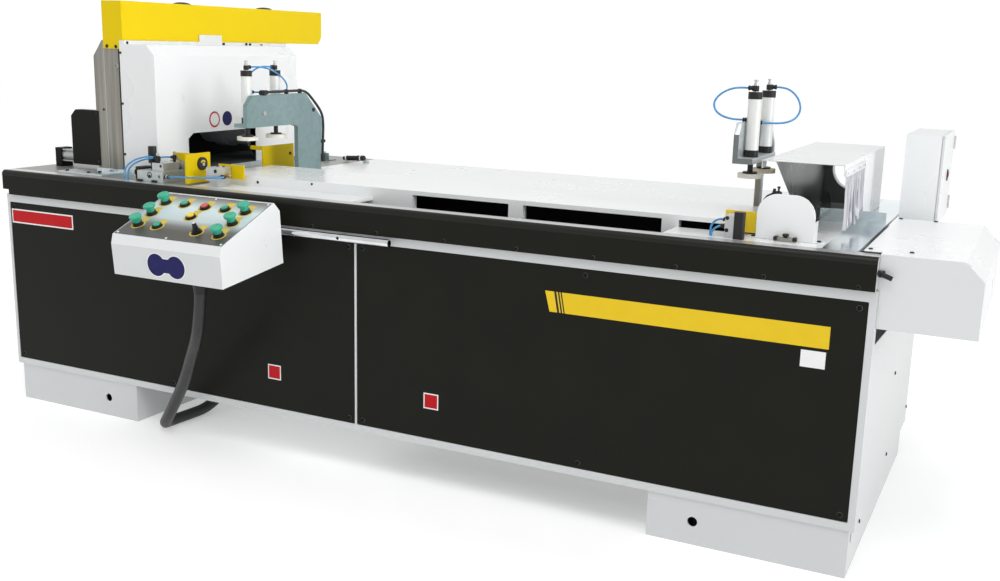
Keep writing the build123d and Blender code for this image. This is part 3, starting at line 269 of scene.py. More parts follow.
# Second finishes: painted shade inside hollows, a painted reflection on the deck edge's top, bare deck at the
# left, and lighter and darker paint on single faces as painted light and shade
skin = 0.1
in_housing_box = inside((-1249, -1086), (-359, 481), (0, 1374))
housing_slope = 254
housing_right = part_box("left_housing")[1].x / MM
cover_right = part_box("beam_cover")[1].x / MM
stand_plate_top, stand_back, sheet_front = 920.1, -1399, -1400
bed_front, bed_left = -329.9, -857.5
bed_hollow = (-849, 1183), (-323, -1), (0, 934)
rail_end, rail_end_thick = 1464.9, 0.3
edge_top = 899.9
motor_top = 904.9
hood_left, hood_right, hood_under = 1096, 1323.9, 1102
hood_hollow = (1131, 1323), (-270, 503), (902, 1105)
box_top, box_plate = 1164.9, 1428.5
switchgear = (1429, 1515), (275, 590), (900, 1150)


def in_housing(x, y, z):
    """Whether a point lies inside the saw housing, under its sloping front and below its lip."""
    return in_housing_box(x, y, z) and x + z < housing_slope


repaint("left_housing", shade_black, in_housing)
# Painted light: the right-hand faces of the housing and of the yellow cover get lighter paint
repaint("left_housing", lit_white, lambda x, y, z: x > housing_right - skin)
repaint("beam_cover", lit_side_yellow, lambda x, y, z: x > cover_right - skin)
# Stand: painted reflection in lighter zinc on the base plates, darker white on the closing sheet's outer
# face, painted shade on its inner face
repaint("left_stand", sheen_strip_zinc, lambda x, y, z: z < stand_plate_top and x > stand_back)
repaint("left_stand", low_shaded_white, lambda x, y, z: x < sheet_front - skin)
repaint("left_stand", shade_black, lambda x, y, z: abs(x - sheet_front) < skin)
# Painted light: lighter paint on the bed's front wall
repaint("bed_beam", lit_white, lambda x, y, z: y < bed_front)
repaint("bed_beam", shade_black, inside(*bed_hollow))
repaint("front_rail", low_shaded_white, lambda x, y, z: rail_end < x < rail_end + rail_end_thick)
# Painted reflection on the deck edge's top
repaint("deck_edge", edge_highlight, lambda x, y, z: z > edge_top)
repaint("deck_edge", low_shaded_white, lambda x, y, z: x > rail_end)
repaint("deck_plates", deck_metal, lambda x, y, z: x < bed_left)
# Painted light: lighter paint on the motor cover's top and the hood's right side; painted shade: darker paint
# on the hood's lower left part and grey inside the hood
repaint("motor_cover", lit_white, lambda x, y, z: z > motor_top)
repaint("right_hood", lit_white, lambda x, y, z: x > hood_right)
repaint("right_hood", low_shaded_white, lambda x, y, z: x < hood_left and z < hood_under)
repaint("right_hood", hood_shade_grey, inside(*hood_hollow))
# Painted shade: darker paint on the electrical box's top
repaint("electrical_box", shaded_cover_white, lambda x, y, z: z > box_top)
repaint("electrical_box", sheen_strip_zinc, lambda x, y, z: abs(x - box_plate) < skin)
repaint("electrical_box", grey, inside(*switchgear))

# Clamps: black end caps, steel ports, dark rods and pale pads
clamp_left_top, clamp_left_low, clamp_right_top, clamp_right_low = 1295, 1108, 1292, 1105
clamp_cap, cap_below = 20.5, 1
bracket_front = -264.9
clamp_leg_top = 1040
pad_left_top, pad_right_top, pads_apart = 1060.5, 1057.5, -110


def on_cap(x, y, z):
    """Whether a point lies on an end cap of a clamp cylinder."""
    low, top = (clamp_left_low, clamp_left_top) if x < 0 else (clamp_right_low, clamp_right_top)
    return low - cap_below < z < low + clamp_cap or top - clamp_cap < z < top + skin


def on_port(x, y, z):
    """Whether a point lies on a port above a clamp cylinder."""
    return z > (clamp_left_top if x < 0 else clamp_right_top) + skin


repaint("right_clamp_bracket", shade_zinc, lambda x, y, z: y < bracket_front)
repaint("right_clamp_bracket", column_zinc, lambda x, y, z: z < clamp_leg_top)
repaint("clamp_cylinders", plastic, on_cap)
repaint("clamp_cylinders", steel, on_port)
repaint("left_clamp_rods", pad_white, lambda x, y, z: z < pad_left_top)
repaint("right_clamp_rods", pad_white, lambda x, y, z: z < pad_right_top and y < pads_apart)
repaint("right_clamp_rods", pad_tan, lambda x, y, z: z < pad_right_top and y > pads_apart)

# Stop, pushers, guard and side cylinder: mixed materials
stop_knob, stop_knob_r = (-1062, -412), 17.5
stop_top, stop_block_left = 939.5, -1031
carrier_right, carrier_front, carrier_top = -873, -343, 969.9
stop_rods_right, stop_rods_back = -972, -342.5
buffer_left = -863.5
pusher_rods_back = -362.5
grip_left = 1068.1
guard_front = -390.1
side_cap_left, side_tube_left, side_tube_right, side_cap_right = -1672.1, -1640.5, -1431.5, -1399.9


def on_stop_knob(x, y, z):
    """Whether a point lies on the round knob of the end stop's block."""
    return hypot(x - stop_knob[0], y - stop_knob[1]) < stop_knob_r and z > stop_top


def on_side_tube(x, y, z):
    """Whether a point lies on the far left cylinder's tube or outside its end caps."""
    return side_tube_left < x < side_tube_right or not side_cap_left < x < side_cap_right


def on_carrier(x, y, z):
    """Whether a point lies on the grey carrier of the stop plate."""
    return x < carrier_right and y > carrier_front and z < carrier_top


repaint("left_stop_cylinder", plastic, on_stop_knob)
repaint("left_stop_cylinder", aluminium, lambda x, y, z: x > stop_block_left and z > stop_top)
repaint("left_stop_plate", cast_grey, on_carrier)
repaint("left_stop_plate", steel, lambda x, y, z: x < stop_rods_right and y < stop_rods_back)
repaint("left_stop_plate", plastic, lambda x, y, z: x > buffer_left)
for plate in ("left_pusher_plate", "right_pusher_plate"):
    repaint(plate, steel, lambda x, y, z: y < pusher_rods_back)
repaint("right_pusher_cylinder", plastic, lambda x, y, z: x > grip_left)
repaint("blade_guard", column_zinc, lambda x, y, z: y < guard_front)
repaint("side_cylinder", aluminium, on_side_tube)

# Console: lamp lens, pale top of the selector handle, which is partly an indicator line and partly a painted
# highlight, and lighter paint on some faces as painted light
lamp_u, lamp_v, lens_r, lens_low = 208, 141, 12.1, 0.7
selector_u, selector_v, handle_high = 295, 62, 33.5
panel_low, panel_high = (-862, 791.5), (-605, 896.4)
slope = hypot(panel_high[0] - panel_low[0], panel_high[1] - panel_low[1])
rise_y, rise_z = (panel_high[0] - panel_low[0]) / slope, (panel_high[1] - panel_low[1]) / slope
console_left = -815


def on_face(u, v, n):
    """Point of the console's sloping face: across, up the slope and out from it."""
    return (console_left + u, panel_low[0] + v * rise_y - n * rise_z, panel_low[1] + v * rise_z + n * rise_y)


lamp_at = Vector(on_face(lamp_u, lamp_v, 0))
lamp_axis = Vector((0, -rise_z, rise_y))


def on_lens(x, y, z):
    """Whether a point lies on the lamp's lens."""
    away = Vector((x, y, z)) - lamp_at
    out = away.dot(lamp_axis)
    return (away - out * lamp_axis).length < lens_r and out > lens_low


repaint("control_bezels", amber, on_lens)
console_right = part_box("console_box")[1].x / MM
front_fold_z = 762
# Painted light: lighter paint on the top fold of the console's front and on its right side
repaint("console_box", white, lambda x, y, z: z > front_fold_z and y < panel_low[0])
repaint("console_box", lit_white, lambda x, y, z: x > console_right - skin)
handle_top = Vector(on_face(selector_u, selector_v, handle_high))
# Painted highlight, partly an indicator line: the pale top of the selector handle
repaint("selector_knob", label_white, lambda x, y, z: (Vector((x, y, z)) - handle_top).dot(lamp_axis) > 0)

# Gap that is welded, and the angles between faces that count as flat, sharp or creased
weld_gap = 0.00002
flat_angle, edge_angle, round_angle, crease_angle = radians(1), radians(35), radians(30), radians(32)


def soften(names, width):
    """Round the sharp edges of CAD nodes by a width in millimetres."""
    for name in names.split():
        weld = nodes[name].modifiers.new("weld", "WELD")
        weld.merge_threshold = weld_gap
        flat = nodes[name].modifiers.new("flat", "DECIMATE")
        flat.decimate_type = "DISSOLVE"
        flat.angle_limit = flat_angle
        flat.delimit = {"MATERIAL"}
        bevel = nodes[name].modifiers.new("bevel", "BEVEL")
        bevel.width = width * MM
        bevel.segments = 2
        bevel.limit_method = "ANGLE"
        bevel.angle_limit = edge_angle
        bevel.harden_normals = True


soften("motor_cover left_housing electrical_box_door console_box beam_cover right_hood", 1.2)
soften("front_rail side_cover blade_guard left_clamp_bracket right_clamp_bracket left_stand", 1.5)
soften("left_stop_cylinder left_stop_plate left_pusher_cylinder right_pusher_cylinder", 1)
soften("left_pusher_plate right_pusher_plate rear_fence", 0.8)


def disc(middle, radius, count=40):
    """Round outline."""
    return [(middle[0] + radius * cos(2 * pi * i / count), middle[1] + radius * sin(2 * pi * i / count))
            for i in range(count)]


def rectangle(a, b):
    """Outline between two places along each of two axes."""
    return [(a[0], b[0]), (a[1], b[0]), (a[1], b[1]), (a[0], b[1])]


class Piece:
    """Mesh gathered from shapes that are given in millimetres."""

    def __init__(self):
        self.mesh = bmesh.new()
        self.materials = []

    def add(self, points, faces, material, soft=0.0):
        """Closed shape from points and faces, with its sharp edges rounded."""
        if material not in self.materials:
            self.materials.append(material)
        made = [self.mesh.verts.new(Vector(point) * MM) for point in points]
        new = [self.mesh.faces.new([made[i] for i in face]) for face in faces]
        bmesh.ops.recalc_face_normals(self.mesh, faces=new)
        for face in new:
            face.material_index = self.materials.index(material)
        if soft:
            edges = {edge for face in new for edge in face.edges if edge.calc_face_angle(0) > round_angle}
            bmesh.ops.bevel(self.mesh, geom=list(edges), offset=soft * MM, segments=2, profile=0.5,
                            affect="EDGES", clamp_overlap=True)

    def slab(self, outline, place, span, material, soft=0.0):
        """Plate with an outline of (a, b) points, between two heights, set in place by a function."""
        count = len(outline)
        points = [place(a, b, n) for n in span for a, b in outline]
        sides = [(i, (i + 1) % count, count + (i + 1) % count, count + i) for i in range(count)]
        self.add(points, [range(count), range(count, 2 * count), *sides], material, soft)

    def box(self, x, y, z, material, soft=0.8):
        """Box between two places along each axis."""
        self.slab(rectangle(x, y), lambda a, b, n: (a, b, n), z, material, soft)

    def lathe(self, start, toward, profile, material, count=24, ring=False):
        """Turned shape along a direction, from (distance, radius) pairs; a ring has an open middle."""
        axis = Vector(toward).normalized()
        across = axis.orthogonal().normalized()
        other = axis.cross(across)
        points = []
        for distance, radius in profile:
            for i in range(count):
                angle = 2 * pi * i / count
                spoke = cos(angle) * across + sin(angle) * other
                points.append(Vector(start) + distance * axis + radius * spoke)
        steps = len(profile)
        ends = [] if ring else [range(count), range((steps - 1) * count, steps * count)]
        sides = []
        for r in range(steps if ring else steps - 1):
            this, following = r * count, (r + 1) % steps * count
            sides += [(this + i, this + (i + 1) % count, following + (i + 1) % count, following + i)
                      for i in range(count)]
        self.add(points, [*ends, *sides], material)

    def screw(self, place, toward, radius, material, high=3.0):
        """Screw head with a socket in its middle."""
        socket = 0.5 * radius
        profile = ((-0.2, radius), (0.6 * high, radius), (high, 0.82 * radius), (high, socket),
                   (0.5 * high, 0.9 * socket), (0.5 * high, 0.1))
        self.lathe(place, toward, profile, material)

    def fitting(self, start, end, radius, material):
        """Hose fitting with a collar at its open end."""
        along = Vector(end) - Vector(start)
        long = along.length
        self.lathe(start, along, ((0, radius), (0.5 * long, radius), (0.55 * long, 0.78 * radius),
                                  (0.7 * long, 0.78 * radius), (0.75 * long, 0.95 * radius),
                                  (0.95 * long, 0.95 * radius), (long, 0.75 * radius)), material)

    def done(self, name, body):
        """Finished object that rides on a body."""
        for face in self.mesh.faces:
            face.smooth = True
        for edge in self.mesh.edges:
            edge.smooth = edge.calc_face_angle(0) < crease_angle
        data = bpy.data.meshes.new(name)
        self.mesh.to_mesh(data)
        self.mesh.free()
        for material in self.materials:
            data.materials.append(material)
        piece = bpy.data.objects.new(name, data)
        bpy.context.scene.collection.objects.link(piece)
        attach(piece, body)
        return piece


# Plane of the black front panels
front_face = -498


def on_panel(a, b, n):
    """Point on the front panels, n in front of them."""
    return (a, front_face - n, b)


def upright(a, b, n):
    """Point of an outline that is seen from the front, n being its place in depth."""
    return (a, n, b)


def bore_profile(outer, inner):
    """Thin ring round a shallow bore, whose dark inside is painted shade standing for a deeper hole."""
    return ((-1, outer), (0.8, outer), (0.8, inner), (0.2, inner - 0.5), (0.2, 0.1))


def route_curve(name, points):
    """Smooth line with a route's points, given in millimetres, as its control points."""
    data = bpy.data.curves.new(name, "CURVE")
    data.dimensions = "3D"
    data.resolution_u = 12
    spline = data.splines.new("NURBS")
    spline.points.add(len(points) - 1)
    for point, place in zip(spline.points, points):
        point.co = (*(MM * c for c in place), 1)
    spline.order_u = 3
    spline.use_endpoint_u = True
    curve = bpy.data.objects.new(name, data)
    bpy.context.scene.collection.objects.link(curve)
    return curve


def centre_line(curve):
    """Points along a curve that has no bevel."""
    bpy.context.view_layer.update()
    mesh = bpy.data.meshes.new_from_object(curve.evaluated_get(bpy.context.evaluated_depsgraph_get()))
    line = [vertex.co.copy() for vertex in mesh.vertices]
    bpy.data.meshes.remove(mesh)
    return line


def tube_mesh(name, line, radius, count=24):
    """Round tube along a line, with its ring turned as little as possible from point to point."""
    mesh = bmesh.new()
    across = (line[1] - line[0]).orthogonal().normalized()
    turns = [2 * pi * k / count for k in range(count)]
    rings = []
    for i, place in enumerate(line):
        along = (line[min(i + 1, len(line) - 1)] - line[max(i - 1, 0)]).normalized()
        across = (across - across.dot(along) * along).normalized()
        other = along.cross(across)
        spokes = [cos(angle) * across + sin(angle) * other for angle in turns]
        rings.append([mesh.verts.new(place + radius * spoke) for spoke in spokes])
    for ring, following in zip(rings, rings[1:]):
        for k in range(count):
            mesh.faces.new((ring[k], ring[(k + 1) % count], following[(k + 1) % count], following[k]))
    mesh.faces.new(rings[0])
    mesh.faces.new(rings[-1])
    bmesh.ops.recalc_face_normals(mesh, faces=mesh.faces)
    for face in mesh.faces:
        face.smooth = True
    data = bpy.data.meshes.new(name)
    mesh.to_mesh(data)
    mesh.free()
    piece = bpy.data.objects.new(name, data)
    bpy.context.scene.collection.objects.link(piece)
    return piece


# Conduit from the console to the floor, then back under the cabinet and up to the bottom pan
conduit_r = 20
conduit_points = (
    (-570, -740, 640), (-570, -740, 590), (-580, -737, 530), (-606, -720, 455), (-680, -668, 365),
    (-747, -630, 262), (-827, -590, 163), (-900, -556, 78), (-955, -520, 30), (-973, -486, 20.5),
    (-970, -440, 20.5), (-964, -370, 20.5), (-957, -306, 22), (-946, -250, 44), (-940, -206, 82),
    (-940, -187, 118), (-940, -187, 141),
)
conduit_route = route_curve("conduit_route", conduit_points)
conduit_line = centre_line(conduit_route)
bpy.data.objects.remove(conduit_route)
conduit = tube_mesh("conduit_tube", conduit_line, conduit_r * MM)
conduit.data.materials.append(rubber)
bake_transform(conduit)
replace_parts(conduit, "conduit")
relief = Piece()
relief_profile = ((0, 29), (8, 29), (9, 27), (20, 27), (21, 25.5), (28, 26), (34, 24), (46, 22.5), (60, 21),
                  (61, 19.5))
relief_top = (-570, -740, 662)
relief.lathe(relief_top, TO_FLOOR, relief_profile, plastic, count=32)
conduit_relief = relief.done("conduit_relief", "console")

# Air hoses with their length in metres
hose_r = 3
hose_routes = (
    (0.235, (
        (1020, -195, 1303), (994, -197, 1304), (964, -201, 1297), (937, -205, 1280), (923, -207, 1257),
        (929, -205, 1234), (949, -201, 1219), (976, -197, 1212), (999, -195, 1211), (1021, -195, 1211.5),
    )),
    (0.252, (
        (1064, -25, 1303), (1088, -23, 1303), (1114, -21, 1290), (1133, -19, 1266), (1140, -21, 1238),
        (1130, -29, 1214), (1109, -41, 1201), (1084, -52, 1197), (1046, -60, 1196.5), (1024, -61, 1197),
    )),
    (0.407, (
        (-790, -193, 1307), (-786, -165, 1309), (-778, -130, 1306), (-769, -92, 1296), (-766, -58, 1280),
        (-766, -26, 1262), (-766, -8, 1240), (-766, -12, 1222), (-766, -36, 1215), (-767, -84, 1215),
        (-772, -130, 1216), (-782, -166, 1218), (-788, -194, 1219),
    )),
    (0.177, (
        (-790, -72, 1307), (-793, -100, 1310), (-800, -134, 1306), (-807, -164, 1290), (-811, -180, 1266),
        (-810, -186, 1238), (-802, -194, 1218),
    )),
    (0.18, (
        (-1152, -462, 900.2), (-1152, -462, 920), (-1149, -460, 940), (-1135, -457, 957), (-1112, -454, 971),
        (-1090, -451, 980), (-1064, -448, 986), (-1040, -445, 989), (-1024, -442, 987),
    )),
    (0.213, (
        (-1144, -452, 900.2), (-1144, -452, 919), (-1141, -451, 937), (-1126, -448, 953), (-1104, -444, 966),
        (-1078, -440, 975), (-1050, -433, 981), (-1026, -416, 985), (-1009, -397, 986), (-998, -384, 985),
    )),
    (0.261, (
        (-967, -452, 922), (-954, -460, 923), (-928, -469, 926), (-890, -473, 929), (-846, -474, 930),
        (-804, -469, 932), (-768, -459, 934), (-738, -446, 935), (-730, -422, 936),
    )),
    (0.078, (
        (1040, -412, 946), (1028, -413, 949), (1012, -415, 945), (1001, -417, 934), (997, -419, 918),
        (997, -419, 900.2),
    )),
    (0.0455, (
        (1030, -426, 931), (1020, -427, 929), (1009, -429, 920), (1003, -430, 909), (1003, -430, 900.2),
    )),
)
clip_hose_r = 5
clip_hose_route = (
    (-754, -150, 1218), (-754, -110, 1219), (-754, -40, 1219), (-754, 40, 1220), (-754, 90, 1217),
    (-754, 130, 1189), (-754, 190, 1137), (-754, 205, 1098), (-754, 200, 1020), (-754, 197, 970),
)


def hose(name, points, radius, material):
    """Hose that leaves one fitting and goes into another."""
    curve = route_curve(name, points)
    curve.data.bevel_depth = radius * MM
    curve.data.bevel_resolution = 5
    curve.data.use_fill_caps = True
    curve.data.materials.append(material)
    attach(curve, "frame")
    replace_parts(curve, "air_hoses")


for number, (length, points) in enumerate(hose_routes):
    hose(f"air_hose_{number + 1}", points, hose_r, hose_blue)
hose("clipped_hose", clip_hose_route, clip_hose_r, rubber)

# Fittings, studs, hose clips and bolts of the clamps
clamps = Piece()
collar_profile = ((0, 8.5), (1, 9.5), (14, 9.5), (16, 8))
stud_profile = ((0, 6.3), (8, 6.3), (8, 4), (12, 4), (12, 6.5), (16, 6.5), (17, 5))
collar_up, stud_up = 2, 18
top_fitting_r, side_fitting_r, clip_fitting_r = 7.5, 6.5, 8.5
for place, top, hose_start in (
    ((-790, -215), clamp_left_top, hose_routes[2][1][0]),
    ((-790, -50), clamp_left_top, hose_routes[3][1][0]),
    ((1042, -195), clamp_right_top, hose_routes[0][1][0]),
    ((1042, -25), clamp_right_top, hose_routes[1][1][0]),
):
    clamps.lathe((*place, top + collar_up), TO_TOP, collar_profile, plastic)
    clamps.fitting((*place, hose_start[2]), hose_start, top_fitting_r, plastic)
    clamps.lathe((*place, top + stud_up), TO_TOP, stud_profile, steel)
for start, end in (
    ((1023.5, -195, 1211.5), (1010, -195, 1211.5)),
    ((1020.5, -61, 1197), (1036, -60, 1197)),
    ((-790, -196.5, 1219), (-787, -182, 1218.5)),
    ((-800, -198.5, 1217), (-804, -186, 1226)),
):
    clamps.fitting(start, end, side_fitting_r, plastic)
clamps.fitting((-754, -182, 1216.5), (-754, -144, 1218), clip_fitting_r, plastic)
for x, y, z in (
    ((-764, -744), (-176, -160), (1207, 1226)),
    ((-761, -747), (-35, -25), (1208.5, 1226)),
    ((-761, -747), (47, 57), (1209, 1226.5)),
    ((-761, -747), (182, 209), (1014, 1026)),
    ((-763, -745), (182.3, 206), (940, 972)),
):
    clamps.box(x, y, z, plastic, soft=2)
clamps.screw((-750, -167, 1143), TO_RIGHT, 9, steel, high=5)
clamps.screw((-750, 134, 1145), TO_RIGHT, 8, plastic)
clamps.screw((1021, -150, 1172), TO_RIGHT, 7, dark_steel, high=4)
clamps.done("clamp_fittings", "frame")

# Left head: overlay plates of the column, bolts and screws
left = Piece()
column_z, column_face, head_front, foot_plate_top = (921, 1357), -357.9, -360, 907
for x, thick, material in (((-1324, -1257.5), 1.5, column_zinc), ((-1328, -1324.3), 2, aluminium)):
    left.slab(rectangle(x, column_z), lambda a, b, n: (a, column_face - n, b), (0, thick), material, soft=0.6)
left.screw((-1266, -359.4, 1297.5), TO_FRONT, 11, deck_metal, high=5)
left.screw((-1342, -357.8, 1137), TO_FRONT, 4, dark_steel)
for x, z in ((-1308.5, 1368), (-1264.5, 1367)):
    left.screw((x, head_front, z), TO_FRONT, 6.5, plastic)
for x, z in ((-1244, 1346), (-1244, 1163), (-1244, 978), (-1378, 1120), (-1378, 941)):
    left.screw((x, head_front, z), TO_FRONT, 4.5, dark_steel)
for x, y in ((-1357, -434), (-1342, -395), (-1470, -430)):
    left.screw((x, y, foot_plate_top), TO_TOP, 7, plastic, high=5)
for x in (-1180, -1105):
    left.screw((x, -363, 914), TO_FRONT, 6, dark_steel, high=4)

# Left head: blank round plates, slots of the housing's lip as thin plates of painted shade, the lip itself,
# low domes on the yellow cover
housing_face, plate_thick = -1085, 0.7
ring_plate, blue_plate = (-48, 1099.5), (26, 1100)
for middle, radius, low, material in (
    (ring_plate, 32, 0, label_white), (ring_plate, 30.5, 0.4, label_red), (ring_plate, 24, 0.8, label_white),
    (blue_plate, 29.5, 0, label_white), (blue_plate, 28, 0.4, label_blue),
):
    span = (low, low + plate_thick)
    left.slab(disc(middle, radius), lambda a, b, n: (housing_face + n, a, b), span, material)
for y, z in (((179, 195), (1378, 1388)), ((322, 337), (1379, 1389)), ((346, 362), (1379, 1388)),
             ((420, 436), (1380, 1385))):
    left.box((-1228, -1226.8), y, z, shade_black, soft=0.3)
left.box((-1229.9, -1227.6), (476.2, 600), (1374, 1390), white, soft=0.3)
left.screw((-1228, -341.5, 1381.7), TO_RIGHT, 5.5, plastic, high=2)
dome_x, dome_z = -1300, 1529.5
dome_profile = ((0, 36), (2, 36), (6, 31), (9, 22), (10.5, 10), (11, 0.1))
for y in (31, 541):
    left.lathe((dome_x, y, dome_z), TO_TOP, dome_profile, plastic, count=40)
left.done("left_head_details", "frame")

# Left stop and left pusher: valves, fittings, bores darkened with painted shade, feet and a block beside the
# stop
stop = Piece()
deck_level = 900.2
for place, profile, material in (
    ((-1014, -437, 968), ((0, 8), (5, 8), (6, 10), (22, 10), (24, 7)), plastic),
    ((-1014, -437, 990), ((0, 4), (6, 4), (6, 6), (12, 6), (13, 4.5)), steel),
    ((-991, -378, 968), ((0, 5.5), (8, 5.5), (9, 7.5), (24, 7.5), (25, 5)), plastic),
    ((-991, -378, 992), ((0, 3.5), (4, 3.5), (4, 5), (12, 5), (13, 3.5)), brass),
):
    stop.lathe(place, TO_TOP, profile, material)
for start, end, radius in (
    ((-1014, -437, 986), (-1027, -443, 987.2), 6.5),
    ((-991, -378, 985), (-1001, -387, 985.2), 5.5),
    ((-971, -450, 922), (-942, -464.5, 924.6), 7),
    ((-744, -418, 936), (-728, -421, 936), 7),
):
    stop.fitting(start, end, radius, plastic)
port_profile = ((0, 11), (1.5, 11), (1.5, 8), (0.6, 7.5), (0.6, 0.1))
stop.lathe((-1032, -461, 925), TO_FRONT, port_profile, plastic)
stop.lathe((-990, -450, 958), TO_FRONT, bore_profile(5, 3.5), dark_steel)
stop.lathe((-752, -440, 956), TO_FRONT, bore_profile(6.5, 4.5), plastic)
foot_half = 12
for x in (-1076, -1010):
    stop.box((x - foot_half, x + foot_half), (-466, -440), (deck_level, 908), plastic, soft=1)
stop.box((-1135, -1100), (-425, -375), (deck_level, 946), plastic, soft=3)
block_end = ((0, 14), (5, 14), (6, 12.5), (6, 8), (2, 7.5), (2, 0.1))
stop.lathe((-1122, -424, 926), TO_FRONT, block_end, dark_steel)
collar_start, collar_way = (-951, -460, 923.8), (29, -14.5, 2.6)
stop.lathe(collar_start, collar_way, ((0, 6.5), (0.5, 7.4), (4, 7.4), (4.5, 6.5)), label_white)
nipple_profile = ((0, 7), (8, 7), (8, 5), (17, 5), (17, 7), (24, 7), (25, 5))
stop.lathe((-744, -396, 938), TO_RIGHT, nipple_profile, brass)
for x in (-782, -756):
    stop.screw((x, -392, 967), TO_TOP, 4.5, dark_steel)
stop.done("stop_fittings", "frame")

# Buffer of the stop plate: yellow half ring and a screw
buffer = Piece()
buffer_x, buffer_y, buffer_z = -856, -381, 971
half_ring = []
for radius, angles in ((13.5, range(20, 161, 10)), (7.5, range(160, 19, -10))):
    half_ring += [(buffer_y + radius * cos(radians(a)), buffer_z + radius * sin(radians(a))) for a in angles]
buffer.slab(half_ring, lambda a, b, n: (buffer_x + n, a, b), (-0.5, 1), label_yellow, soft=0.3)
buffer_screw = ((0, 6), (3, 6), (4, 5), (4, 3), (3, 2.5), (3, 0.1))
buffer.lathe((buffer_x - 0.5, buffer_y, buffer_z - 2), TO_RIGHT, buffer_screw, steel)
buffer.done("buffer_ring", "left_stop")

# Rear deck: angle bracket, ribbed grip with two pale bands, and a foot block
rear = Piece()
angle_outline = [(-1020, 900), (-962, 900), (-962, 904), (-1015, 904), (-1015, 934), (-1020, 934)]
rear.slab(angle_outline, upright, (545, 590), zinc, soft=0.6)
rear.box((-1015, -972), (548, 552), (904, 933), zinc, soft=0.6)
grip_start, grip_way = Vector((-905, 565, 914)), Vector((1, 0, 0.06))
grip_ribs = [(distance, 11 if distance % 8 == 4 else 10) for distance in range(20, 65, 4)]
grip_profile = [(0, 8), (12, 8), (13, 11), (16, 11), (17, 10), *grip_ribs, (72, 11.5), (104, 11.5), (108, 9)]
rear.lathe(grip_start, grip_way, grip_profile, plastic)
band_profile = ((0, 11.6), (0.5, 12.2), (4, 12.2), (4.5, 11.6))
for distance in (14, 86):
    rear.lathe(grip_start + distance * grip_way, grip_way, band_profile, label_white)
rear.box((-802, -782), (556, 576), (900, 911), cast_grey, soft=1)

# Bolt of the rear fence, screws and folded window edges of the bed
rear.screw((-896, 175, 965), TO_RIGHT, 6, plastic, high=4)
for x, z, radius in ((-657, 915, 5), (-426, 926, 4)):
    rear.screw((x, -330, z), TO_FRONT, radius, plastic, high=2)
fold_thick = 2
for x in (-26, 373, 877):
    rear.box((x - fold_thick, x), (-322, -303), (868, 921), white, soft=0.4)
rear.done("rear_fittings", "frame")

# Right pusher, blade guard, hood and covers
right_head = Piece()
# Bores darkened with painted shade
for z in (955, 921):
    right_head.lathe((1047, -436, z), TO_FRONT, bore_profile(5.5, 4), plastic)
for start, end in (((1043, -411.5, 945), (1030, -412.5, 948)), ((1041.5, -426, 931), (1028, -426, 931))):
    right_head.fitting(start, end, side_fitting_r, plastic)
for x, y in ((1110, -383), (1290, -380)):
    right_head.screw((x, y, 903.2), TO_TOP, 6, plastic, high=4)
knob_profile = ((0, 5), (3, 5), (4, 9), (9, 9), (11, 7))
right_head.lathe((1203, -401, 910), TO_TOP, knob_profile, plastic)
guard_foot_half = 5
for x in (1177, 1229):
    right_head.box((x - guard_foot_half, x + guard_foot_half), (-414, -392), (903, 913), plastic, soft=1.5)
foot_outline = [(1114, 935.2), (1160, 935.2), (1160, 1021), (1140, 1021), (1124, 1012), (1114, 1000)]
right_head.slab(foot_outline, upright, (-316, -284), plastic, soft=2)
for x, high in ((1141, 11), (1153, 18)):
    nut_profile = ((0, 5.5), (5, 5.5), (5, 2.8), (high - 5, 2.8), (high - 5, 4.5), (high, 4.5))
    right_head.lathe((x, -300, 1019), TO_TOP, nut_profile, dark_steel)
cover_screw_r, cover_screw_z, end_panel_x = 6, 906, 1459
right_head.screw((1324, 101, 941), TO_RIGHT, cover_screw_r, plastic)
for x, y in ((1431, 202), (1534, 202), (1432, -425), (1535, -425)):
    right_head.screw((x, y, cover_screw_z), TO_TOP, cover_screw_r, plastic)
for y, z in ((-396, 602), (220, 404), (710, 150), (206, 132), (-323, 103)):
    right_head.screw((end_panel_x, y, z), TO_RIGHT, cover_screw_r, plastic)
right_head.done("right_head_details", "frame")

# Strip curtain: riveted bar and soft strips that fan out and hang unevenly
curtain = Piece()
curtain_y, bar_face, rivet_z = (-262, 75), 1328.5, 1080.5
rivet_profile = ((-0.5, 4.5), (0.8, 4.3), (1.8, 2.5), (2, 0.1))
curtain.box((1324.2, bar_face), curtain_y, (1071, 1091), white)
for y in (-240, -145, -44, 57):
    curtain.lathe((bar_face, y, rivet_z), TO_RIGHT, rivet_profile, steel)
strip_lows = (926, 918, 924, 932, 921, 942, 930, 950, 946)
strip_wide = (curtain_y[1] - curtain_y[0]) / len(strip_lows)
strip_x, strip_top, strip_thick, strip_gap, strip_taper = 1326.2, 1076, 1.4, 1, 15
fan_first, fan_less, fan_uneven = 22, 2, 4
wave_high, wave_count, wave_shift, bow_high, bow_turn = 4.5, 1.3, 2.1, 3, 3.2
swing_out, swing_power = 6.5, 1.3
rows, columns = 14, 7
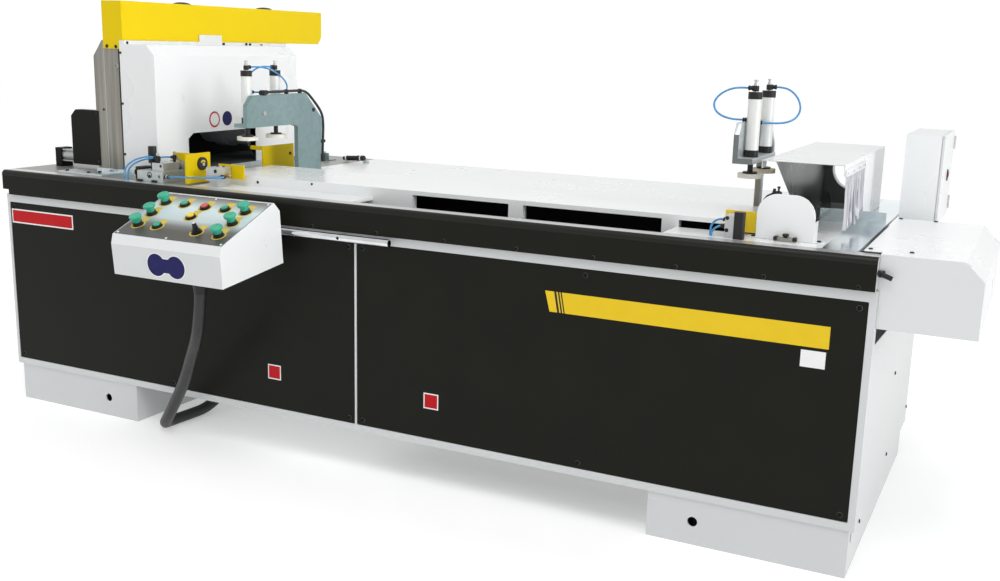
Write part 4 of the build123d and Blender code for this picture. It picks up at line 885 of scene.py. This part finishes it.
for number, low in enumerate(strip_lows):
    first = curtain_y[0] + number * strip_wide
    fan = fan_first - fan_less * number + fan_uneven * ((number * 5) % 4)
    sheet = []
    for layer in (0, strip_thick):
        for row in range(rows + 1):
            drop = row / rows
            z = strip_top + (low - strip_top) * drop
            for column in range(columns + 1):
                share = column / columns
                y = first + strip_gap + share * (strip_wide - 2 * strip_gap - strip_taper * drop) - fan * drop
                sway = wave_high * sin(2 * pi * share * wave_count + number * wave_shift)
                sway += bow_high * sin(bow_turn * drop + number)
                sheet.append((strip_x + (swing_out + sway) * drop ** swing_power + layer, y, z))
    wide, tall = columns + 1, rows + 1
    faces = []
    for layer in (0, wide * tall):
        faces += [(layer + r * wide + c, layer + r * wide + c + 1, layer + (r + 1) * wide + c + 1,
                   layer + (r + 1) * wide + c) for r in range(rows) for c in range(columns)]
    border = [*range(wide), *(r * wide + columns for r in range(1, tall))]
    border += [rows * wide + c for c in range(columns - 1, -1, -1)]
    border += [r * wide for r in range(rows - 1, 0, -1)]
    faces += [(a, b, b + wide * tall, a + wide * tall) for a, b in zip(border, border[1:] + border[:1])]
    curtain.add(sheet, faces, milky)
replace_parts(curtain.done("curtain_strips", "frame"), "strip_curtain")

# Lock and hinges of the electrical box
lock = Piece()
door_face, lock_y, lock_z, lock_half_y, lock_half_z = 1531, 454, 1028, 13, 19
lock_outline = [(lock_y + lock_half_y * a, lock_z + lock_half_z * b) for a, b in disc((0, 0), 1, 32)]
lock.slab(lock_outline, lambda a, b, n: (door_face + n, a, b), (-0.3, 3), plastic, soft=1)
key_profile = ((0, 9), (2.5, 9), (3, 8), (3, 3), (1.5, 2.5), (1.5, 0.1))
lock.lathe((door_face + 2, lock_y, lock_z + 2), TO_RIGHT, key_profile, label_red)
hinge_half = 22
for z in (925, 1125):
    lock.lathe((1531.5, 601, z - hinge_half), TO_TOP, ((0, 4), (1, 5), (43, 5), (44, 4)), steel)
lock.done("box_door_details", "box_door")

# Blank plates on the front panels
labels = Piece()
backing, printed = (0, 0.6), (0.4, 0.9)
labels.slab(rectangle((-1699, -1382), (699, 753)), on_panel, backing, label_white)
labels.slab(rectangle((-1694, -1387), (704, 748)), on_panel, printed, label_red)
for x, z in ((-469.5, 292.5), (148, 290.5)):
    for half_x, half_z, span, material in ((27, 26, backing, label_white), (23, 22, printed, label_red)):
        labels.slab(rectangle((x - half_x, x + half_x), (z - half_z, z + half_z)), on_panel, span, material)
band_low, band_high, bar_lean = 638, 700, 12
band = [(549, band_low), (1360, band_low), (1360, band_high), (533, band_high)]
labels.slab(band, on_panel, backing, label_yellow)
for x, wide in ((562, 7), (573.5, 5), (582.5, 4)):
    bar = [(x + bar_lean, band_low), (x + bar_lean + wide, band_low), (x + wide, band_high), (x, band_high)]
    labels.slab(bar, on_panel, (0.4, 0.8), plastic)
labels.slab(rectangle((1288, 1354), (582, 629)), on_panel, backing, label_white)
labels.done("blank_plates", "frame")

# Grey rings round the screws of the front panels and of the rail
rings = Piece()
ring_profile = ((-0.2, 1.16), (1.2, 1.16), (1.6, 1.1), (1.6, 1.02), (-0.2, 1.02))
screw_inset, screw_rows, panel_screw_r = 22, (183, 760), 7
screw_places = []
for panel in ("front_panel_left", "front_panel_right"):
    low_corner, high_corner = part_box(panel)
    first, last, face = low_corner[0] / MM, high_corner[0] / MM, low_corner[1] / MM
    for x in (first + screw_inset, (first + last) / 2, last - screw_inset):
        screw_places += [(x, face, z, panel_screw_r) for z in screw_rows]
rail_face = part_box("front_rail")[0][1] / MM
rail_screws, rail_screw_x, rail_screw_step, rail_screw_z, rail_screw_r = 13, 1422, 245, 819, 5
for i in range(rail_screws):
    screw_places.append((rail_screw_x - i * rail_screw_step, rail_face, rail_screw_z, rail_screw_r))
for x, y, z, radius in screw_places:
    profile = [(out, share * radius) for out, share in ring_profile]
    rings.lathe((x, y, z), TO_FRONT, profile, ring_grey, ring=True)
rings.done("screw_rings", "frame")

# Console face: film with a painted reflection, yellow legend plates, corner screws and a blank blue plate on
# the front
film = bpy.data.materials.new("console_film_reflection")
film.use_nodes = True
film_tree, film_link = film.node_tree, film.node_tree.links.new
film_shader = set_sockets(film_tree.nodes["Principled BSDF"], Roughness=0.35)
film_place = add_node(film_tree, "TexCoord")
film_axes = add_node(film_tree, "SeparateXYZ")
film_link(film_place.outputs["Object"], film_axes.inputs["Vector"])
film_share = add_node(film_tree, "MapRange", From_Min=panel_low[0] * MM, From_Max=panel_high[0] * MM)
film_link(film_axes.outputs["Y"], film_share.inputs["Value"])
# The film's colour runs dark, light blue-grey and dark again up the slope: a painted reflection on the glossy
# film
film_reflection_ramp = add_node(film_tree, "ValToRGB")
film_reflection_stops = film_reflection_ramp.color_ramp.elements
film_reflection_stops[0].position, film_reflection_stops[0].color = 0.2, (0.075, 0.075, 0.065, 1)
film_reflection_stops[1].position, film_reflection_stops[1].color = 0.97, (0.12, 0.12, 0.105, 1)
for share, colour in ((0.3, (0.16, 0.165, 0.16, 1)), (0.44, (0.50, 0.59, 0.615, 1)),
                      (0.72, (0.62, 0.73, 0.76, 1)), (0.88, (0.27, 0.295, 0.285, 1))):
    film_reflection_stops.new(share).color = colour
film_link(film_share.outputs["Result"], film_reflection_ramp.inputs["Fac"])
film_link(film_reflection_ramp.outputs["Color"], film_shader.inputs["Base Color"])
film_grain = add_node(film_tree, "TexNoise", Scale=900)
film_bump = add_node(film_tree, "Bump", Strength=0.08, Distance=0.0005)
film_link(film_place.outputs["Object"], film_grain.inputs["Vector"])
film_link(film_grain.outputs["Fac"], film_bump.inputs["Height"])
film_link(film_bump.outputs["Normal"], film_shader.inputs["Normal"])

controls = ((47, 210), (48, 137), (50, 67), (381, 204), (382, 132), (385, 58), (128, 210), (296, 207),
            (128, 69), (215, 206), (selector_u, selector_v), (lamp_u, lamp_v))
legend_r, legend_tail, legend_half, legend_hole = 24, 43, 14, 18.7
legend_angles = [radians(angle) for angle in range(54, -235, -12)]
rivet_head = ((0, 4), (1, 3.8), (1.8, 2.5), (1.9, 0.1))
desk = Piece()
desk.slab(rectangle((4, 436), (4, 270)), on_face, (0, 0.1), label_blue)
desk.slab(rectangle((6, 434), (6, 268)), on_face, (0.05, 0.15), film)
for u, v in controls:
    outline = [(u + legend_r * cos(angle), v + legend_r * sin(angle)) for angle in legend_angles]
    outline += [(u - legend_half, v + legend_tail), (u + legend_half, v + legend_tail)]
    desk.slab(outline, on_face, (0.1, 0.3), legend_yellow)
    desk.slab(disc((u, v), legend_hole), on_face, (0.2, 0.4), plastic)
for u, v in ((12, 13), (428, 13), (12, 262), (428, 262), (213, 11), (215, 264)):
    desk.lathe(on_face(u, v, 0), lamp_axis, rivet_head, label_white)
front_low, front_high = (-861, 660.5), (-870, 761)


def on_front(a, b, n):
    """Point on the console's front wall, n in front of it."""
    lean = (front_high[0] - front_low[0]) / (front_high[1] - front_low[1])
    return (a, front_low[0] + lean * (b - front_low[1]) - n, b)


waist_x, waist_z = (-616, -572), 709.5
round_thick, waist_thick = 0.5, 0.45
for low, radius, waist, material in ((0, 39, 25.5, label_white), (0.4, 36, 22.5, label_blue)):
    for x, z in ((-633, 710), (-555, 709)):
        desk.slab(disc((x, z), radius), on_front, (low, low + round_thick), material)
    waist_outline = rectangle(waist_x, (waist_z - waist, waist_z + waist))
    desk.slab(waist_outline, on_front, (low, low + waist_thick), material)
desk.done("console_face", "console")

# Floor, world and lights
floor_half = (-30, 30)
floor_mesh = bpy.data.meshes.new("floor")
floor_mesh.from_pydata([(x, y, 0) for x, y in rectangle(floor_half, floor_half)], [], [range(4)])
floor = bpy.data.objects.new("floor", floor_mesh)
bpy.context.scene.collection.objects.link(floor)
paper = surface("floor_paper", (0.84, 0.84, 0.84), (0.86, 0.86, 0.86), (0.7, 0.8), bump=0)
pure_white = (1, 1, 1, 1)
set_sockets(paper.node_tree.nodes["Principled BSDF"], Emission_Color=pure_white, Emission_Strength=0.3)
floor_mesh.materials.append(paper)
world = bpy.data.worlds.new("studio")
world.use_nodes = True
sky, sky_link = world.node_tree, world.node_tree.links.new
sky_back = set_sockets(sky.nodes["Background"], Color=pure_white)
sky_place = add_node(sky, "TexCoord")
sky_height = add_node(sky, "VectorMath")
sky_height.operation = "DOT_PRODUCT"
sky_way = (0, 1, -0.35)
sky_height.inputs[1].default_value = sky_way
sky_link(sky_place.outputs["Generated"], sky_height.inputs[0])
sky_range = add_node(sky, "MapRange", From_Min=0.2, From_Max=0.55, To_Min=0.75, To_Max=1.06)
sky_link(sky_height.outputs["Value"], sky_range.inputs["Value"])
sky_link(sky_range.outputs["Result"], sky_back.inputs["Strength"])
bpy.context.scene.world = world


def soft_light(name, place, aim, size, power, spread=180):
    """Large square lamp that points at a place, with its spread in degrees."""
    data = bpy.data.lights.new(name, "AREA")
    data.shape = "SQUARE"
    data.size = size
    data.energy = power
    data.spread = radians(spread)
    lamp = bpy.data.objects.new(name, data)
    lamp.location = place
    lamp.rotation_mode = "QUATERNION"
    lamp.rotation_quaternion = (Vector(aim) - Vector(place)).to_track_quat("-Z", "Y")
    bpy.context.scene.collection.objects.link(lamp)


soft_light("key", (1, -3, 6.5), (0.6, 0, 0.8), 3.0, 120)
soft_light("side", (11, -1.5, 5), (0, 0, 0.8), 5.0, 95)
soft_light("left_fill", (4.6, -1.2, 2.4), (-0.9, -0.45, 1.0), 2.6, 8.0, 34)
bpy.context.scene.view_settings.view_transform = "Standard"
